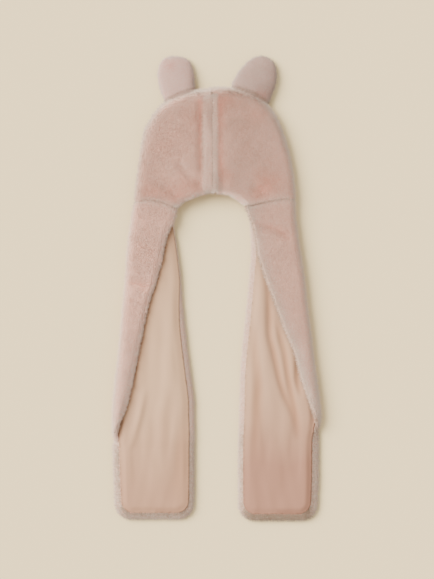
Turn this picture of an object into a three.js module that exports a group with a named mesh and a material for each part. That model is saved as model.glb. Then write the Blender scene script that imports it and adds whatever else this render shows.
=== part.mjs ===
import * as THREE from "three";

// A plush animal hood with two long scarf tails, lying flat with the front of the hood up.
// Millimetres. +Z is up from the surface that it lies on, +Y runs from the tails' ends to the crown.
// Each side is drawn in its own (out, up) plane: out is the distance from the centre seam, and up
// is the height above the outer end of the left tail's seam.

// Cloth
const FUR_WALL = 8.5; // backing and pile together
const LINING_WALL = 1.5;
const GAP = 0.3; // between pieces that touch
const FOLD_RADIUS = 12; // outside of the turn where the cloth doubles back on itself
const EDGE_ROUND = 6; // how far in from a hem the pile rounds off
const EDGE_THICKNESS = 1; // what is left of the wall right at a hem

// Hood
const HOOD_WIDTH = 293; // across both panels at the tails' seams
const HOOD_HEIGHT = 203; // from the tails' seams to the crown
const SEAM_LENGTH = 190; // centre seam, from the crown to the hem over the face
const FACE_WIDTH = 120; // across the open hem, between the tails
const FACE_RISE = 27; // how far the hem arches up between the tails
const CROWN_RISE = 10; // how far the front layer domes above the folded edge
const VALLEY_DEPTH = 3; // soft hollow on each side of the centre seam
const VALLEY_OUT = 25; // from the centre seam to the bottom of that hollow
const VALLEY_WIDTH = 12;
const BACK_HEM_SETBACK = 11; // the back layer's hem hides this far behind the front one
const DENT_DEPTH = 2.5; // creases pressed into the fur
const DENT_WIDTH = 9;

// Tails
const TAIL_LENGTH = 576; // from the seam at the hood to the end
const TAIL_WIDTH = 145; // across the flat end
const TAIL_FLARE = 40; // how far the outer edge swings out below the hood
const TAIL_CORNER = 26; // radius of the corners at the end
const LINING_INSET = 11.5; // fur border left round the lining
const PLEAT_HEIGHT = 2.4; // soft pleats that stand up in the lining
const PLEAT_WIDTH = 8;
const OPEN_LIFT = 0.9; // how far the lining comes off the fur where the fold opens out

// Ears
const EAR_WIDTH = 62;
const EAR_LENGTH = 68;
const EAR_BASE = 49; // length of the seam that joins an ear to the crown
const EAR_THICKNESS = 17;
const EAR_LIFT = 1; // under side of an ear above the surface

const FOLD_STEPS = 6; // flats round the turn of the cloth

// Share of the crown edge, counted from the tail's seam, along which the rows of a panel end on the
// front hem. The other rows end on the centre seam.
const HEM_SHARE = 0.34;

const LEFT = {
  name: "left",
  sign: -1,
  level: 0, // the seam's outer end, as a share of HOOD_HEIGHT
  // Crown edge, from the tail's seam to the centre seam, as shares of half HOOD_WIDTH and HOOD_HEIGHT.
  crownEdge: [
    { out: 0.955, up: 0 },
    { out: 0.912, up: 0.253 },
    { out: 0.844, up: 0.585 },
    { out: 0.768, up: 0.705 },
    { out: 0.645, up: 0.829 },
    { out: 0.498, up: 0.904 },
    { out: 0.276, up: 0.965 },
    { out: 0.104, up: 0.982 },
    { out: 0, up: 1 },
  ],
  // Hem over the face, from the tail to the centre seam, as shares of half FACE_WIDTH and FACE_RISE.
  hem: [
    { out: 1.05, down: 1 },
    { out: 0.9, down: 0.64 },
    { out: 0.645, down: 0.37 },
    { out: 0.375, down: 0.16 },
    { out: 0, down: 0 },
  ],
  backHemOut: 1.23, // where the back layer's hem meets the tail, as a share of half FACE_WIDTH
  // Tail's seam, as shares of its width and of its drop from the outer end to the hem's end.
  seam: [
    { across: 0, drop: 0 },
    { across: 0.33, drop: -0.12 },
    { across: 0.7, drop: 0.25 },
    { across: 1, drop: 1 },
  ],
  // Creases in the hood's front, as shares of half HOOD_WIDTH and HOOD_HEIGHT.
  dents: [
    { fromOut: 0.39, fromUp: 0.315, toOut: 0.19, toUp: 0.155 },
    { fromOut: 0.57, fromUp: 0.115, toOut: 0.47, toUp: 0.07 },
  ],
  // Creases across the folded part of the tail: shares of its folded width from the outer edge, and of
  // TAIL_LENGTH.
  flapDents: [{ fromAcross: 0.05, fromDown: 0.253, toAcross: 0.6, toDown: 0.262 }],
  // Pleats in the lining: shares of the tail's width from its inner edge, and of TAIL_LENGTH.
  pleats: [
    { fromAcross: 0.38, fromDown: 0.56, toAcross: 0.52, toDown: 0.75 },
    { fromAcross: 0.66, fromDown: 0.57, toAcross: 0.74, toDown: 0.74 },
  ],
  tailEnd: 0.995, // reach of this tail, as a share of TAIL_LENGTH
  // Stations down the tail, as shares of TAIL_LENGTH. flare is the outer edge's place as a share of
  // TAIL_FLARE, width runs from 0 at the seam's width to 1 at TAIL_WIDTH, flap is the visible width of
  // the part folded over as a share of its width at the seam, and turn is 1 where it lies folded
  // right over and 0 where the tail lies flat.
  stations: [
    { down: 0, flare: 0, width: 0, flap: 1, turn: 1 },
    { down: 0.042, flare: 0.1, width: 0.07, flap: 0.98, turn: 1 },
    { down: 0.095, flare: 0.22, width: 0.17, flap: 0.88, turn: 1 },
    { down: 0.16, flare: 0.33, width: 0.29, flap: 0.84, turn: 1 },
    { down: 0.24, flare: 0.41, width: 0.4, flap: 0.74, turn: 1 },
    { down: 0.317, flare: 0.51, width: 0.49, flap: 0.6, turn: 1 },
    { down: 0.395, flare: 0.61, width: 0.6, flap: 0.52, turn: 1 },
    { down: 0.473, flare: 0.72, width: 0.72, flap: 0.46, turn: 1 },
    { down: 0.552, flare: 0.85, width: 0.86, flap: 0.41, turn: 1 },
    { down: 0.623, flare: 0.96, width: 0.98, flap: 0.35, turn: 1 },
    { down: 0.67, flare: 0.99, width: 1, flap: 0.25, turn: 0.97 },
    { down: 0.715, flare: 0.99, width: 1.01, flap: 0.14, turn: 0.82 },
    { down: 0.745, flare: 0.985, width: 1.005, flap: 0.06, turn: 0.42 },
    { down: 0.775, flare: 0.98, width: 1, flap: 0, turn: 0 },
    { down: 0.87, flare: 0.94, width: 0.98, flap: 0, turn: 0 },
    { down: 1, flare: 0.86, width: 0.92, flap: 0, turn: 0 },
  ],
  ear: {
    middle: 0.783, // of the crown edge, counted from the tail's seam
    // Sections from the seam to the tip: both side points as shares of EAR_WIDTH and EAR_LENGTH from
    // the middle of the seam, and the thickness as a share of EAR_THICKNESS.
    sections: [
      { outerOut: 0.52, outerUp: 0.07, innerOut: -0.4, innerUp: 0.29, thick: 1 },
      { outerOut: 0.6, outerUp: 0.43, innerOut: -0.39, innerUp: 0.48, thick: 1 },
      { outerOut: 0.58, outerUp: 0.7, innerOut: -0.33, innerUp: 0.7, thick: 0.92 },
      { outerOut: 0.45, outerUp: 0.91, innerOut: -0.23, innerUp: 0.87, thick: 0.75 },
      { outerOut: 0.25, outerUp: 0.99, innerOut: -0.01, innerUp: 0.99, thick: 0.45 },
    ],
  },
  colour: { fur: 0xcfab9f, lining: 0xd0bcac },
};

const RIGHT = {
  name: "right",
  sign: 1,
  level: 0.022,
  crownEdge: [
    { out: 1.012, up: 0.022 },
    { out: 0.983, up: 0.226 },
    { out: 0.934, up: 0.412 },
    { out: 0.876, up: 0.559 },
    { out: 0.799, up: 0.709 },
    { out: 0.657, up: 0.857 },
    { out: 0.485, up: 0.944 },
    { out: 0.313, up: 0.984 },
    { out: 0.154, up: 1 },
    { out: 0, up: 1 },
  ],
  hem: [
    { out: 0.945, down: 0.77 },
    { out: 0.825, down: 0.51 },
    { out: 0.645, down: 0.27 },
    { out: 0.45, down: 0.11 },
    { out: 0.15, down: 0.03 },
    { out: 0, down: 0 },
  ],
  backHemOut: 1.09,
  seam: [
    { across: 0, drop: 0 },
    { across: 0.3, drop: 0.12 },
    { across: 0.6, drop: 0.52 },
    { across: 0.85, drop: 0.87 },
    { across: 1, drop: 1 },
  ],
  dents: [
    { fromOut: 0.14, fromUp: 0.22, toOut: 0.12, toUp: 0.09 },
    { fromOut: 0.52, fromUp: 0.12, toOut: 0.6, toUp: 0.1 },
  ],
  flapDents: [{ fromAcross: 0.9, fromDown: 0.055, toAcross: 0.1, toDown: 0.112 }],
  pleats: [
    { fromAcross: 0.34, fromDown: 0.31, toAcross: 0.63, toDown: 0.68 },
    { fromAcross: 0.58, fromDown: 0.38, toAcross: 0.77, toDown: 0.68 },
  ],
  tailEnd: 1.007,
  stations: [
    { down: 0, flare: 0, width: 0, flap: 1, turn: 1 },
    { down: 0.05, flare: 0, width: -0.03, flap: 0.88, turn: 1 },
    { down: 0.103, flare: 0.09, width: -0.01, flap: 0.85, turn: 1 },
    { down: 0.17, flare: 0.23, width: 0.07, flap: 0.84, turn: 1 },
    { down: 0.247, flare: 0.4, width: 0.23, flap: 0.76, turn: 1 },
    { down: 0.325, flare: 0.52, width: 0.37, flap: 0.63, turn: 1 },
    { down: 0.403, flare: 0.67, width: 0.54, flap: 0.52, turn: 1 },
    { down: 0.481, flare: 0.8, width: 0.7, flap: 0.37, turn: 1 },
    { down: 0.56, flare: 0.95, width: 0.85, flap: 0.31, turn: 1 },
    { down: 0.631, flare: 1.1, width: 0.96, flap: 0.22, turn: 1 },
    { down: 0.678, flare: 1.16, width: 1.01, flap: 0.15, turn: 0.93 },
    { down: 0.712, flare: 1.12, width: 0.995, flap: 0.07, turn: 0.6 },
    { down: 0.737, flare: 1.08, width: 0.98, flap: 0.02, turn: 0.22 },
    { down: 0.765, flare: 1.05, width: 0.97, flap: 0, turn: 0 },
    { down: 0.88, flare: 1.04, width: 0.97, flap: 0, turn: 0 },
    { down: 1.01, flare: 0.96, width: 0.9, flap: 0, turn: 0 },
  ],
  ear: {
    middle: 0.742,
    sections: [
      { outerOut: 0.59, outerUp: 0.05, innerOut: -0.49, innerUp: 0.33, thick: 1 },
      { outerOut: 0.68, outerUp: 0.4, innerOut: -0.32, innerUp: 0.56, thick: 1 },
      { outerOut: 0.68, outerUp: 0.64, innerOut: -0.13, innerUp: 0.78, thick: 0.92 },
      { outerOut: 0.61, outerUp: 0.85, innerOut: 0.06, innerUp: 0.93, thick: 0.75 },
      { outerOut: 0.44, outerUp: 0.97, innerOut: 0.26, innerUp: 0.98, thick: 0.45 },
    ],
  },
  colour: { fur: 0xc9a699, lining: 0xc7b0a0 },
};

function smooth(value) {
  const x = Math.min(Math.max(value, 0), 1);
  return x * x * (3 - 2 * x);
}

function mix(a, b, share) {
  return a + (b - a) * share;
}

// Value of one column of a table at a place between its rows, with no corner at the rows.
function column(table, place, key, at) {
  let last = table.length - 2;
  while (last > 0 && table[last][place] > at) last -= 1;
  const slope = (row) => {
    const before = table[Math.max(row - 1, 0)];
    const after = table[Math.min(row + 1, table.length - 1)];
    return (after[key] - before[key]) / (after[place] - before[place]);
  };
  const from = table[last];
  const to = table[last + 1];
  const span = to[place] - from[place];
  const x = Math.min(Math.max((at - from[place]) / span, 0), 1);
  const ease = smooth(x);
  const rise = x * (1 - x) * ((1 - x) * slope(last) - x * slope(last + 1)) * span;
  return mix(from[key], to[key], ease) + rise;
}

// How much a wall loses on each face at a distance from its hem.
function hemLoss(distance) {
  if (distance >= EDGE_ROUND) return 0;
  const x = 1 - Math.max(distance, 0) / EDGE_ROUND;
  return ((FUR_WALL - EDGE_THICKNESS) / 2) * (1 - Math.sqrt(1 - x * x));
}

// Shares of a row, closer together where a hem rounds off at its start.
function hemColumns(length, rest) {
  const round = Math.min(EDGE_ROUND, length * 0.4);
  const places = [0, round * 0.25, round];
  for (let k = 1; k <= rest; k += 1) places.push(mix(round, length, k / rest));
  return places;
}

// One closed body from two grids of points that face each other.
function closedSheet(outer, inner) {
  const positions = [];
  const triangle = (a, b, c) => {
    if (a.distanceTo(b) < 1e-4 || b.distanceTo(c) < 1e-4 || c.distanceTo(a) < 1e-4) return;
    for (const point of [a, b, c]) positions.push(point.x, point.y, point.z);
  };
  const quad = (a, b, c, d) => {
    triangle(a, b, c);
    triangle(a, c, d);
  };
  const rows = outer.length - 1;
  const cols = outer[0].length - 1;
  for (let r = 0; r < rows; r += 1) {
    for (let c = 0; c < cols; c += 1) {
      quad(outer[r][c], outer[r][c + 1], outer[r + 1][c + 1], outer[r + 1][c]);
      triangle(inner[r][c], inner[r + 1][c + 1], inner[r][c + 1]);
      triangle(inner[r][c], inner[r + 1][c], inner[r + 1][c + 1]);
    }
  }
  for (let c = 0; c < cols; c += 1) {
    quad(inner[0][c], inner[0][c + 1], outer[0][c + 1], outer[0][c]);
    quad(outer[rows][c], outer[rows][c + 1], inner[rows][c + 1], inner[rows][c]);
  }
  for (let r = 0; r < rows; r += 1) {
    quad(outer[r][0], outer[r + 1][0], inner[r + 1][0], inner[r][0]);
    quad(inner[r][cols], inner[r + 1][cols], outer[r + 1][cols], outer[r][cols]);
  }
  return facingOut(positions);
}

// Geometry from loose triangles, turned so that its faces point out.
function facingOut(positions) {
  const a = new THREE.Vector3();
  const b = new THREE.Vector3();
  const c = new THREE.Vector3();
  let volume = 0;
  for (let i = 0; i < positions.length; i += 9) {
    a.fromArray(positions, i);
    b.fromArray(positions, i + 3);
    c.fromArray(positions, i + 6);
    volume += a.dot(b.cross(c));
  }
  if (volume < 0) {
    for (let i = 0; i < positions.length; i += 9) {
      for (let k = 0; k < 3; k += 1) {
        const kept = positions[i + 3 + k];
        positions[i + 3 + k] = positions[i + 6 + k];
        positions[i + 6 + k] = kept;
      }
    }
  }
  const geometry = new THREE.BufferGeometry();
  geometry.setAttribute("position", new THREE.Float32BufferAttribute(positions, 3));
  geometry.computeVertexNormals();
  return geometry;
}

function meshOf(name, geometry, colour, roughness) {
  const material = new THREE.MeshStandardMaterial({ color: colour, roughness, metalness: 0 });
  const mesh = new THREE.Mesh(geometry, material);
  mesh.name = name;
  return mesh;
}

function curveThrough(rows, toOut, toUp) {
  return new THREE.SplineCurve(rows.map((row) => new THREE.Vector2(toOut(row), toUp(row))));
}

// The lines that a side's pieces share, in its (out, up) plane.
function linesOf(side) {
  const hemTop = HOOD_HEIGHT - SEAM_LENGTH;
  const edge = curveThrough(
    side.crownEdge,
    (row) => (row.out * HOOD_WIDTH) / 2,
    (row) => row.up * HOOD_HEIGHT,
  );
  const hem = curveThrough(
    side.hem,
    (row) => (row.out * FACE_WIDTH) / 2,
    (row) => hemTop - row.down * FACE_RISE,
  );
  const level = side.level * HOOD_HEIGHT;
  const seamOuter = (side.crownEdge[0].out * HOOD_WIDTH) / 2;
  const seamInner = (side.hem[0].out * FACE_WIDTH) / 2;
  const seamWidth = seamOuter - seamInner;
  const seamDrop = level - (hemTop - side.hem[0].down * FACE_RISE);
  const seamUp = (out) =>
    level - column(side.seam, "across", "drop", (seamOuter - out) / seamWidth) * seamDrop;
  // The back hem follows the front one, set back, and starts at the tail's hidden inner edge.
  const backOut = (side.backHemOut * FACE_WIDTH) / 2;
  const backHem = new THREE.SplineCurve([
    new THREE.Vector2(backOut, seamUp(backOut)),
    ...side.hem.slice(1).map((row) => {
      const out = (row.out * FACE_WIDTH) / 2;
      return new THREE.Vector2(out, hemTop - row.down * FACE_RISE + BACK_HEM_SETBACK);
    }),
  ]);
  return { side, edge, hem, backHem, hemTop, level, seamOuter, seamInner, seamWidth, seamUp, backOut };
}

function nearest(points, out, up) {
  let best = Infinity;
  for (let i = 1; i < points.length; i += 1) {
    const a = points[i - 1];
    const b = points[i];
    const along = new THREE.Vector2().subVectors(b, a);
    const to = new THREE.Vector2(out - a.x, up - a.y);
    const share = Math.min(Math.max(to.dot(along) / along.lengthSq(), 0), 1);
    best = Math.min(best, to.addScaledVector(along, -share).length());
  }
  return best;
}

// How strongly a soft line between two points is felt at a third, from 0 to 1.
function nearLine(from, to, point, width) {
  return Math.exp(-((nearest([from, to], point.x, point.y) / width) ** 2));
}

// Direction away from the hood at a place on its crown edge: straight out at the tail's seam, and
// straight up at the centre seam.
function edgeNormal(lines, at) {
  const tangent = lines.edge.getTangentAt(at);
  const normal = new THREE.Vector2(tangent.y, -tangent.x);
  if (normal.x * tangent.y < 0) normal.negate();
  const square = new THREE.Vector2(at < 0.5 ? 1 : 0, at < 0.5 ? 0 : 1);
  const near = 1 - smooth(Math.min(at, 1 - at) / 0.08);
  return normal.lerp(square, near).normalize();
}

// Shape of the hood's front layer above the folded edge. across runs from the centre seam or hem at
// 0 to the crown edge at 1, and at runs from the tail's seam to the centre seam at the crown.
function crownHeight(out, across, at) {
  const dome = 1 - smooth((across - 0.15) / 0.85);
  const rise = smooth(at / 0.5);
  const top = 1 - smooth((at - 0.7) / 0.3);
  const valley = Math.exp(-(((out - VALLEY_OUT) / VALLEY_WIDTH) ** 2)) * VALLEY_DEPTH;
  return Math.max(CROWN_RISE * dome - valley, 0) * rise * top;
}

function hoodPanel(side, lines) {
  const hemPoints = lines.hem.getPoints(24);
  const backPoints = lines.backHem.getPoints(24);
  const seamEnd = lines.edge.getPointAt(1).y - FOLD_RADIUS;
  const backTop = lines.hemTop + BACK_HEM_SETBACK;
  const rows = [0, 0.25, 0.5, 0.75, 1].map((share) => share * HEM_SHARE);
  const seamSpan = seamEnd - lines.hemTop;
  for (const rise of [EDGE_ROUND * 0.25, EDGE_ROUND]) {
    rows.push(mix(HEM_SHARE, 1, rise / seamSpan));
  }
  const first = rows[rows.length - 1];
  for (let k = 1; k <= 11; k += 1) rows.push(mix(first, 1, k / 11));

  const outer = [];
  const inner = [];
  const bow = { front: [], back: [] };
  for (const at of rows) {
    const rim = lines.edge.getPointAt(at);
    const normal = edgeNormal(lines, at);
    const fold = rim.clone().addScaledVector(normal, -FOLD_RADIUS);
    const onHem = at <= HEM_SHARE;
    const climb = onHem ? 0 : (at - HEM_SHARE) / (1 - HEM_SHARE);
    const front = onHem
      ? lines.hem.getPointAt(at / HEM_SHARE)
      : new THREE.Vector2(0, mix(lines.hemTop, seamEnd, climb));
    const back = onHem
      ? lines.backHem.getPointAt(at / HEM_SHARE)
      : new THREE.Vector2(0, mix(backTop, seamEnd, climb));
    const fade = 1 - smooth(at / 0.25);
    const outerRow = [];
    const innerRow = [];
    const place = (list, out, up, z) =>
      list.push(new THREE.Vector3(side.sign * (out + GAP / 2), up, z));

    const layer = (start, hem, bows, rest, heights) => {
      const length = start.distanceTo(fold);
      return hemColumns(length, rest).map((distance, index) => {
        const share = length > 0 ? distance / length : 1;
        const point = start.clone().lerp(fold, share);
        if (at === 0) bows[index] = lines.seamUp(point.x) - point.y;
        point.y += bows[index] * fade;
        return { point, ...heights(point, share, hemLoss(nearest(hem, point.x, point.y))) };
      });
    };
    const frontLayer = layer(front, hemPoints, bow.front, 6, (point, share, loss) => {
      const top = 2 * FOLD_RADIUS + crownHeight(point.x, share, at);
      const dent = side.dents.reduce((sum, row) => {
        const from = new THREE.Vector2((row.fromOut * HOOD_WIDTH) / 2, row.fromUp * HOOD_HEIGHT);
        const to = new THREE.Vector2((row.toOut * HOOD_WIDTH) / 2, row.toUp * HOOD_HEIGHT);
        return sum + DENT_DEPTH * nearLine(from, to, point, DENT_WIDTH);
      }, 0);
      return { outside: top - dent - loss, inside: top - FUR_WALL + loss };
    });
    const backLayer = layer(back, backPoints, bow.back, 5, (point, share, loss) => {
      return { outside: loss, inside: FUR_WALL - loss };
    }).reverse();
    for (const { point, outside, inside } of frontLayer) {
      place(outerRow, point.x, point.y, outside);
      place(innerRow, point.x, point.y, inside);
    }
    const turnBow = bow.front[frontLayer.length - 1];
    for (let k = 1; k < FOLD_STEPS; k += 1) {
      const angle = (k / FOLD_STEPS) * Math.PI;
      for (const [list, radius] of [
        [outerRow, FOLD_RADIUS],
        [innerRow, FOLD_RADIUS - FUR_WALL],
      ]) {
        const point = fold.clone().addScaledVector(normal, radius * Math.sin(angle));
        const up = at === 0 ? lines.seamUp(point.x) : point.y + turnBow * fade;
        place(list, point.x, up, FOLD_RADIUS + radius * Math.cos(angle));
      }
    }
    for (const { point, outside, inside } of backLayer) {
      place(outerRow, point.x, point.y, outside);
      place(innerRow, point.x, point.y, inside);
    }
    outer.push(outerRow);
    inner.push(innerRow);
  }
  return closedSheet(outer, inner);
}

// Cross-section of a tail at a station: the flat base, the turn at the outer edge, and the part
// folded over it. Places along the section are counted from the base's inner edge.
function tailSection(lines, down) {
  const { side } = lines;
  const read = (key) => column(side.stations, "down", key, down);
  const baseAtSeam = lines.seamOuter - lines.backOut;
  const width = mix(baseAtSeam, TAIL_WIDTH, read("width"));
  const turn = read("turn");
  const angle = Math.PI * Math.min(Math.max(turn, 0), 1);
  const flapWidth = Math.max(read("flap"), 0) * lines.seamWidth;
  const start = FOLD_RADIUS * Math.sin(Math.min(angle, Math.PI / 2));
  const base = width - start;
  const arc = FOLD_RADIUS * angle;
  const straight = Math.max(flapWidth - FOLD_RADIUS, 0) * smooth(turn / 0.6);
  return {
    outerOut: lines.seamOuter + read("flare") * TAIL_FLARE,
    width,
    start,
    base,
    arc,
    angle,
    turn: Math.min(Math.max(turn, 0), 1),
    total: base + arc + straight,
  };
}

// A point of the section: how far in from the tail's outer edge, and how high, at a depth into the
// cloth from its fur side.
function sectionPoint(section, along, depth) {
  const { base, arc, angle, start, width } = section;
  if (along <= base) return { inward: width - along, z: depth };
  const radius = FOLD_RADIUS - depth;
  const turned = Math.min((along - base) / FOLD_RADIUS, angle);
  const past = Math.max(along - base - arc, 0);
  return {
    inward: start - radius * Math.sin(turned) - past * Math.cos(angle),
    z: FOLD_RADIUS - radius * Math.cos(turned) + past * Math.sin(angle),
  };
}

// Places across a tail: close together at the hems and round the fold, and even where it lies flat.
function tailColumns(section, inset) {
  const { base, arc, total, turn } = section;
  const round = EDGE_ROUND;
  const folded = [];
  for (let k = 1; k <= 5; k += 1) folded.push(mix(round, base, k / 5));
  // Where little is left past the turn, the last places keep in order before the hem.
  const turnEnd = Math.min(base + arc, total - 1.5 * round);
  for (let k = 1; k <= FOLD_STEPS; k += 1) folded.push(mix(base, turnEnd, k / FOLD_STEPS));
  for (let k = 1; k <= 4; k += 1) folded.push(mix(turnEnd, total - round, k / 4));
  const steps = folded.length;
  const share = smooth(turn / 0.5);
  const middle = folded.map((place, k) => mix(mix(round, total - round, (k + 1) / steps), place, share));
  const places = [0, round * 0.25, round, ...middle, total - round * 0.25, total];
  if (inset === 0) return places;
  // The lining is set in from the hems, and has places between those of the fur where it pleats.
  const kept = middle.slice(1, -2);
  const between = kept.slice(0, 3).map((place, k) => (place + kept[k + 1]) / 2);
  return [inset, ...kept, ...between, total - inset].sort((a, b) => a - b);
}

// Distance from a point of a tail to its nearest hem, with round corners at the end.
function tailHemDistance(along, total, toEnd, corner) {
  const side = Math.min(along, total - along);
  if (side >= corner || toEnd >= corner) return Math.min(side, toEnd);
  return corner - Math.hypot(corner - side, corner - toEnd);
}

// Squeezes a place across a tail so that its hems follow the round corners at the end.
function roundCorner(along, total, toEnd, corner) {
  if (toEnd >= corner) return along;
  const cut = corner - Math.sqrt(corner ** 2 - (corner - toEnd) ** 2);
  return mix(cut, total - cut, along / total);
}

// How deep the creases go at a place on the folded part of a tail.
function flapDent(side, section, along, down) {
  const { base, arc, total } = section;
  if (along < base + arc / 2) return 0;
  const reach = total - base - arc;
  const at = new THREE.Vector2(along - base - arc, down);
  return side.flapDents.reduce((sum, row) => {
    const from = new THREE.Vector2(row.fromAcross * reach, row.fromDown * TAIL_LENGTH);
    const to = new THREE.Vector2(row.toAcross * reach, row.toDown * TAIL_LENGTH);
    return sum + DENT_DEPTH * nearLine(from, to, at, DENT_WIDTH);
  }, 0);
}

// How high the lining stands off the fur: where the fold opens out, and in pleats on the tail's flat
// base that fade at their ends.
function liningPleat(side, section, along, down) {
  const { base, width, turn } = section;
  const lift = OPEN_LIFT * 4 * turn * (1 - turn);
  return side.pleats.reduce((sum, row) => {
    const share = (down / TAIL_LENGTH - row.fromDown) / (row.toDown - row.fromDown);
    if (share <= 0 || share >= 1 || along >= base) return sum;
    const across = mix(row.fromAcross, row.toAcross, share) * width;
    const near = Math.exp(-(((along - across) / PLEAT_WIDTH) ** 2));
    return sum + PLEAT_HEIGHT * near * Math.sin(Math.PI * share) * smooth((base - along) / PLEAT_WIDTH);
  }, lift);
}

// One sheet of a tail, between two depths into the cloth and set in from the hems.
function tailSheet(side, lines, sheet) {
  const { nearDepth, farDepth, inset, fur } = sheet;
  const length = side.tailEnd * TAIL_LENGTH;
  const end = length - inset;
  const corner = TAIL_CORNER - inset;
  const straight = [0, 0.02, 0.045, 0.07, 0.1, 0.135, 0.175, 0.235, 0.3, 0.365, 0.43, 0.495];
  straight.push(0.555, 0.61, 0.65, 0.678, 0.7, 0.718, 0.735, 0.752, 0.775, 0.83, 0.9);
  const rows = straight.map((share) => share * TAIL_LENGTH);
  for (const share of [1, 0.55, 0.25, 0.08, 0]) rows.push(end - share * corner);
  const nearGrid = [];
  const farGrid = [];
  const nearBows = [];
  const farBows = [];
  for (const down of rows) {
    const section = tailSection(lines, down / TAIL_LENGTH);
    const fade = 1 - smooth(down / (0.16 * TAIL_LENGTH));
    const nearRow = [];
    const farRow = [];
    tailColumns(section, inset).forEach((place, index) => {
      const along = inset + roundCorner(place - inset, section.total - 2 * inset, end - down, corner);
      const hem = tailHemDistance(along, section.total, length - down, TAIL_CORNER);
      const worn = fur ? hemLoss(hem) : 0;
      const dent = fur ? flapDent(side, section, along, down) : 0;
      const pleat = fur ? 0 : liningPleat(side, section, along, down);
      for (const [row, bows, depth] of [
        [nearRow, nearBows, nearDepth + worn + dent + pleat],
        [farRow, farBows, farDepth - worn + pleat],
      ]) {
        const { inward, z } = sectionPoint(section, along, depth);
        const out = section.outerOut - inward;
        if (down === 0) bows[index] = lines.seamUp(out) - lines.level;
        const up = lines.level - GAP - down + bows[index] * fade;
        row.push(new THREE.Vector3(side.sign * (out + GAP / 2), up, z));
      }
    });
    nearGrid.push(nearRow);
    farGrid.push(farRow);
  }
  return closedSheet(nearGrid, farGrid);
}

// Loft through closed rings of equally many points, closed at each end by a single point.
function loft(first, rings, last) {
  const positions = [];
  const triangle = (a, b, c) => {
    for (const point of [a, b, c]) positions.push(point.x, point.y, point.z);
  };
  const count = rings[0].length;
  for (let k = 0; k < count; k += 1) {
    const next = (k + 1) % count;
    triangle(first, rings[0][next], rings[0][k]);
    for (let r = 1; r < rings.length; r += 1) {
      triangle(rings[r - 1][k], rings[r - 1][next], rings[r][next]);
      triangle(rings[r - 1][k], rings[r][next], rings[r][k]);
    }
    triangle(rings[rings.length - 1][k], rings[rings.length - 1][next], last);
  }
  return facingOut(positions);
}

// A padded ear whose foot is hollowed to sit against the round crown edge.
function ear(side, lines) {
  const { middle, sections } = side.ear;
  const half = EAR_BASE / 2 / lines.edge.getLength();
  const foot = lines.edge.getPointAt(middle);
  const around = 16;
  const centreZ = (thick) => EAR_LIFT + (thick * EAR_THICKNESS) / 2;
  const seat = (across, z) => {
    const at = middle + across * half;
    const rim = lines.edge.getPointAt(at);
    const height = Math.min(Math.abs(z - FOLD_RADIUS), FOLD_RADIUS);
    const set = FOLD_RADIUS - Math.sqrt(FOLD_RADIUS ** 2 - height ** 2);
    const point = rim.addScaledVector(edgeNormal(lines, at), GAP - set);
    return new THREE.Vector3(side.sign * (point.x + GAP / 2), point.y, z);
  };
  const ringAngles = Array.from({ length: around }, (_, k) => (k / around) * 2 * Math.PI);
  // across runs from -1 at the outer side point to 1 at the inner one.
  const seatRing = (share) =>
    ringAngles.map((angle) => {
      const z = centreZ(1) + share * Math.sin(angle) * (EAR_THICKNESS / 2);
      return seat(-share * Math.cos(angle), z);
    });
  const bodyRing = (row) =>
    ringAngles.map((angle) => {
      const share = (1 - Math.cos(angle)) / 2;
      const out = foot.x + mix(row.outerOut, row.innerOut, share) * EAR_WIDTH;
      const up = foot.y + mix(row.outerUp, row.innerUp, share) * EAR_LENGTH;
      const z = centreZ(row.thick) + Math.sin(angle) * ((row.thick * EAR_THICKNESS) / 2);
      return new THREE.Vector3(side.sign * (out + GAP / 2), up, z);
    });
  const tip = bodyRing(sections[sections.length - 1])
    .reduce((sum, point) => sum.add(point), new THREE.Vector3())
    .divideScalar(around);
  tip.y += 0.01 * EAR_LENGTH;
  const rings = [0.33, 0.67, 1].map(seatRing).concat(sections.map(bodyRing));
  return loft(seat(0, centreZ(1)), rings, tip);
}

const furSheet = { nearDepth: 0, farDepth: FUR_WALL, inset: 0, fur: true };
const liningSheet = {
  nearDepth: FUR_WALL + GAP,
  farDepth: FUR_WALL + GAP + LINING_WALL,
  inset: LINING_INSET,
  fur: false,
};

const scarf = new THREE.Group();
for (const side of [LEFT, RIGHT]) {
  const lines = linesOf(side);
  const { fur, lining } = side.colour;
  scarf.add(meshOf("hood_panel_" + side.name, hoodPanel(side, lines), fur, 0.95));
  scarf.add(meshOf("ear_" + side.name, ear(side, lines), fur, 0.95));
  scarf.add(meshOf("tail_fur_" + side.name, tailSheet(side, lines, furSheet), fur, 0.95));
  scarf.add(meshOf("tail_lining_" + side.name, tailSheet(side, lines, liningSheet), lining, 0.7));
}

// The frame's origin is under the middle of the whole piece.
const box = new THREE.Box3().setFromObject(scarf);
const middle = box.getCenter(new THREE.Vector3());
scarf.position.set(-middle.x, -middle.y, -box.min.z);

export default scarf;
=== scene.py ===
import math

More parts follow.
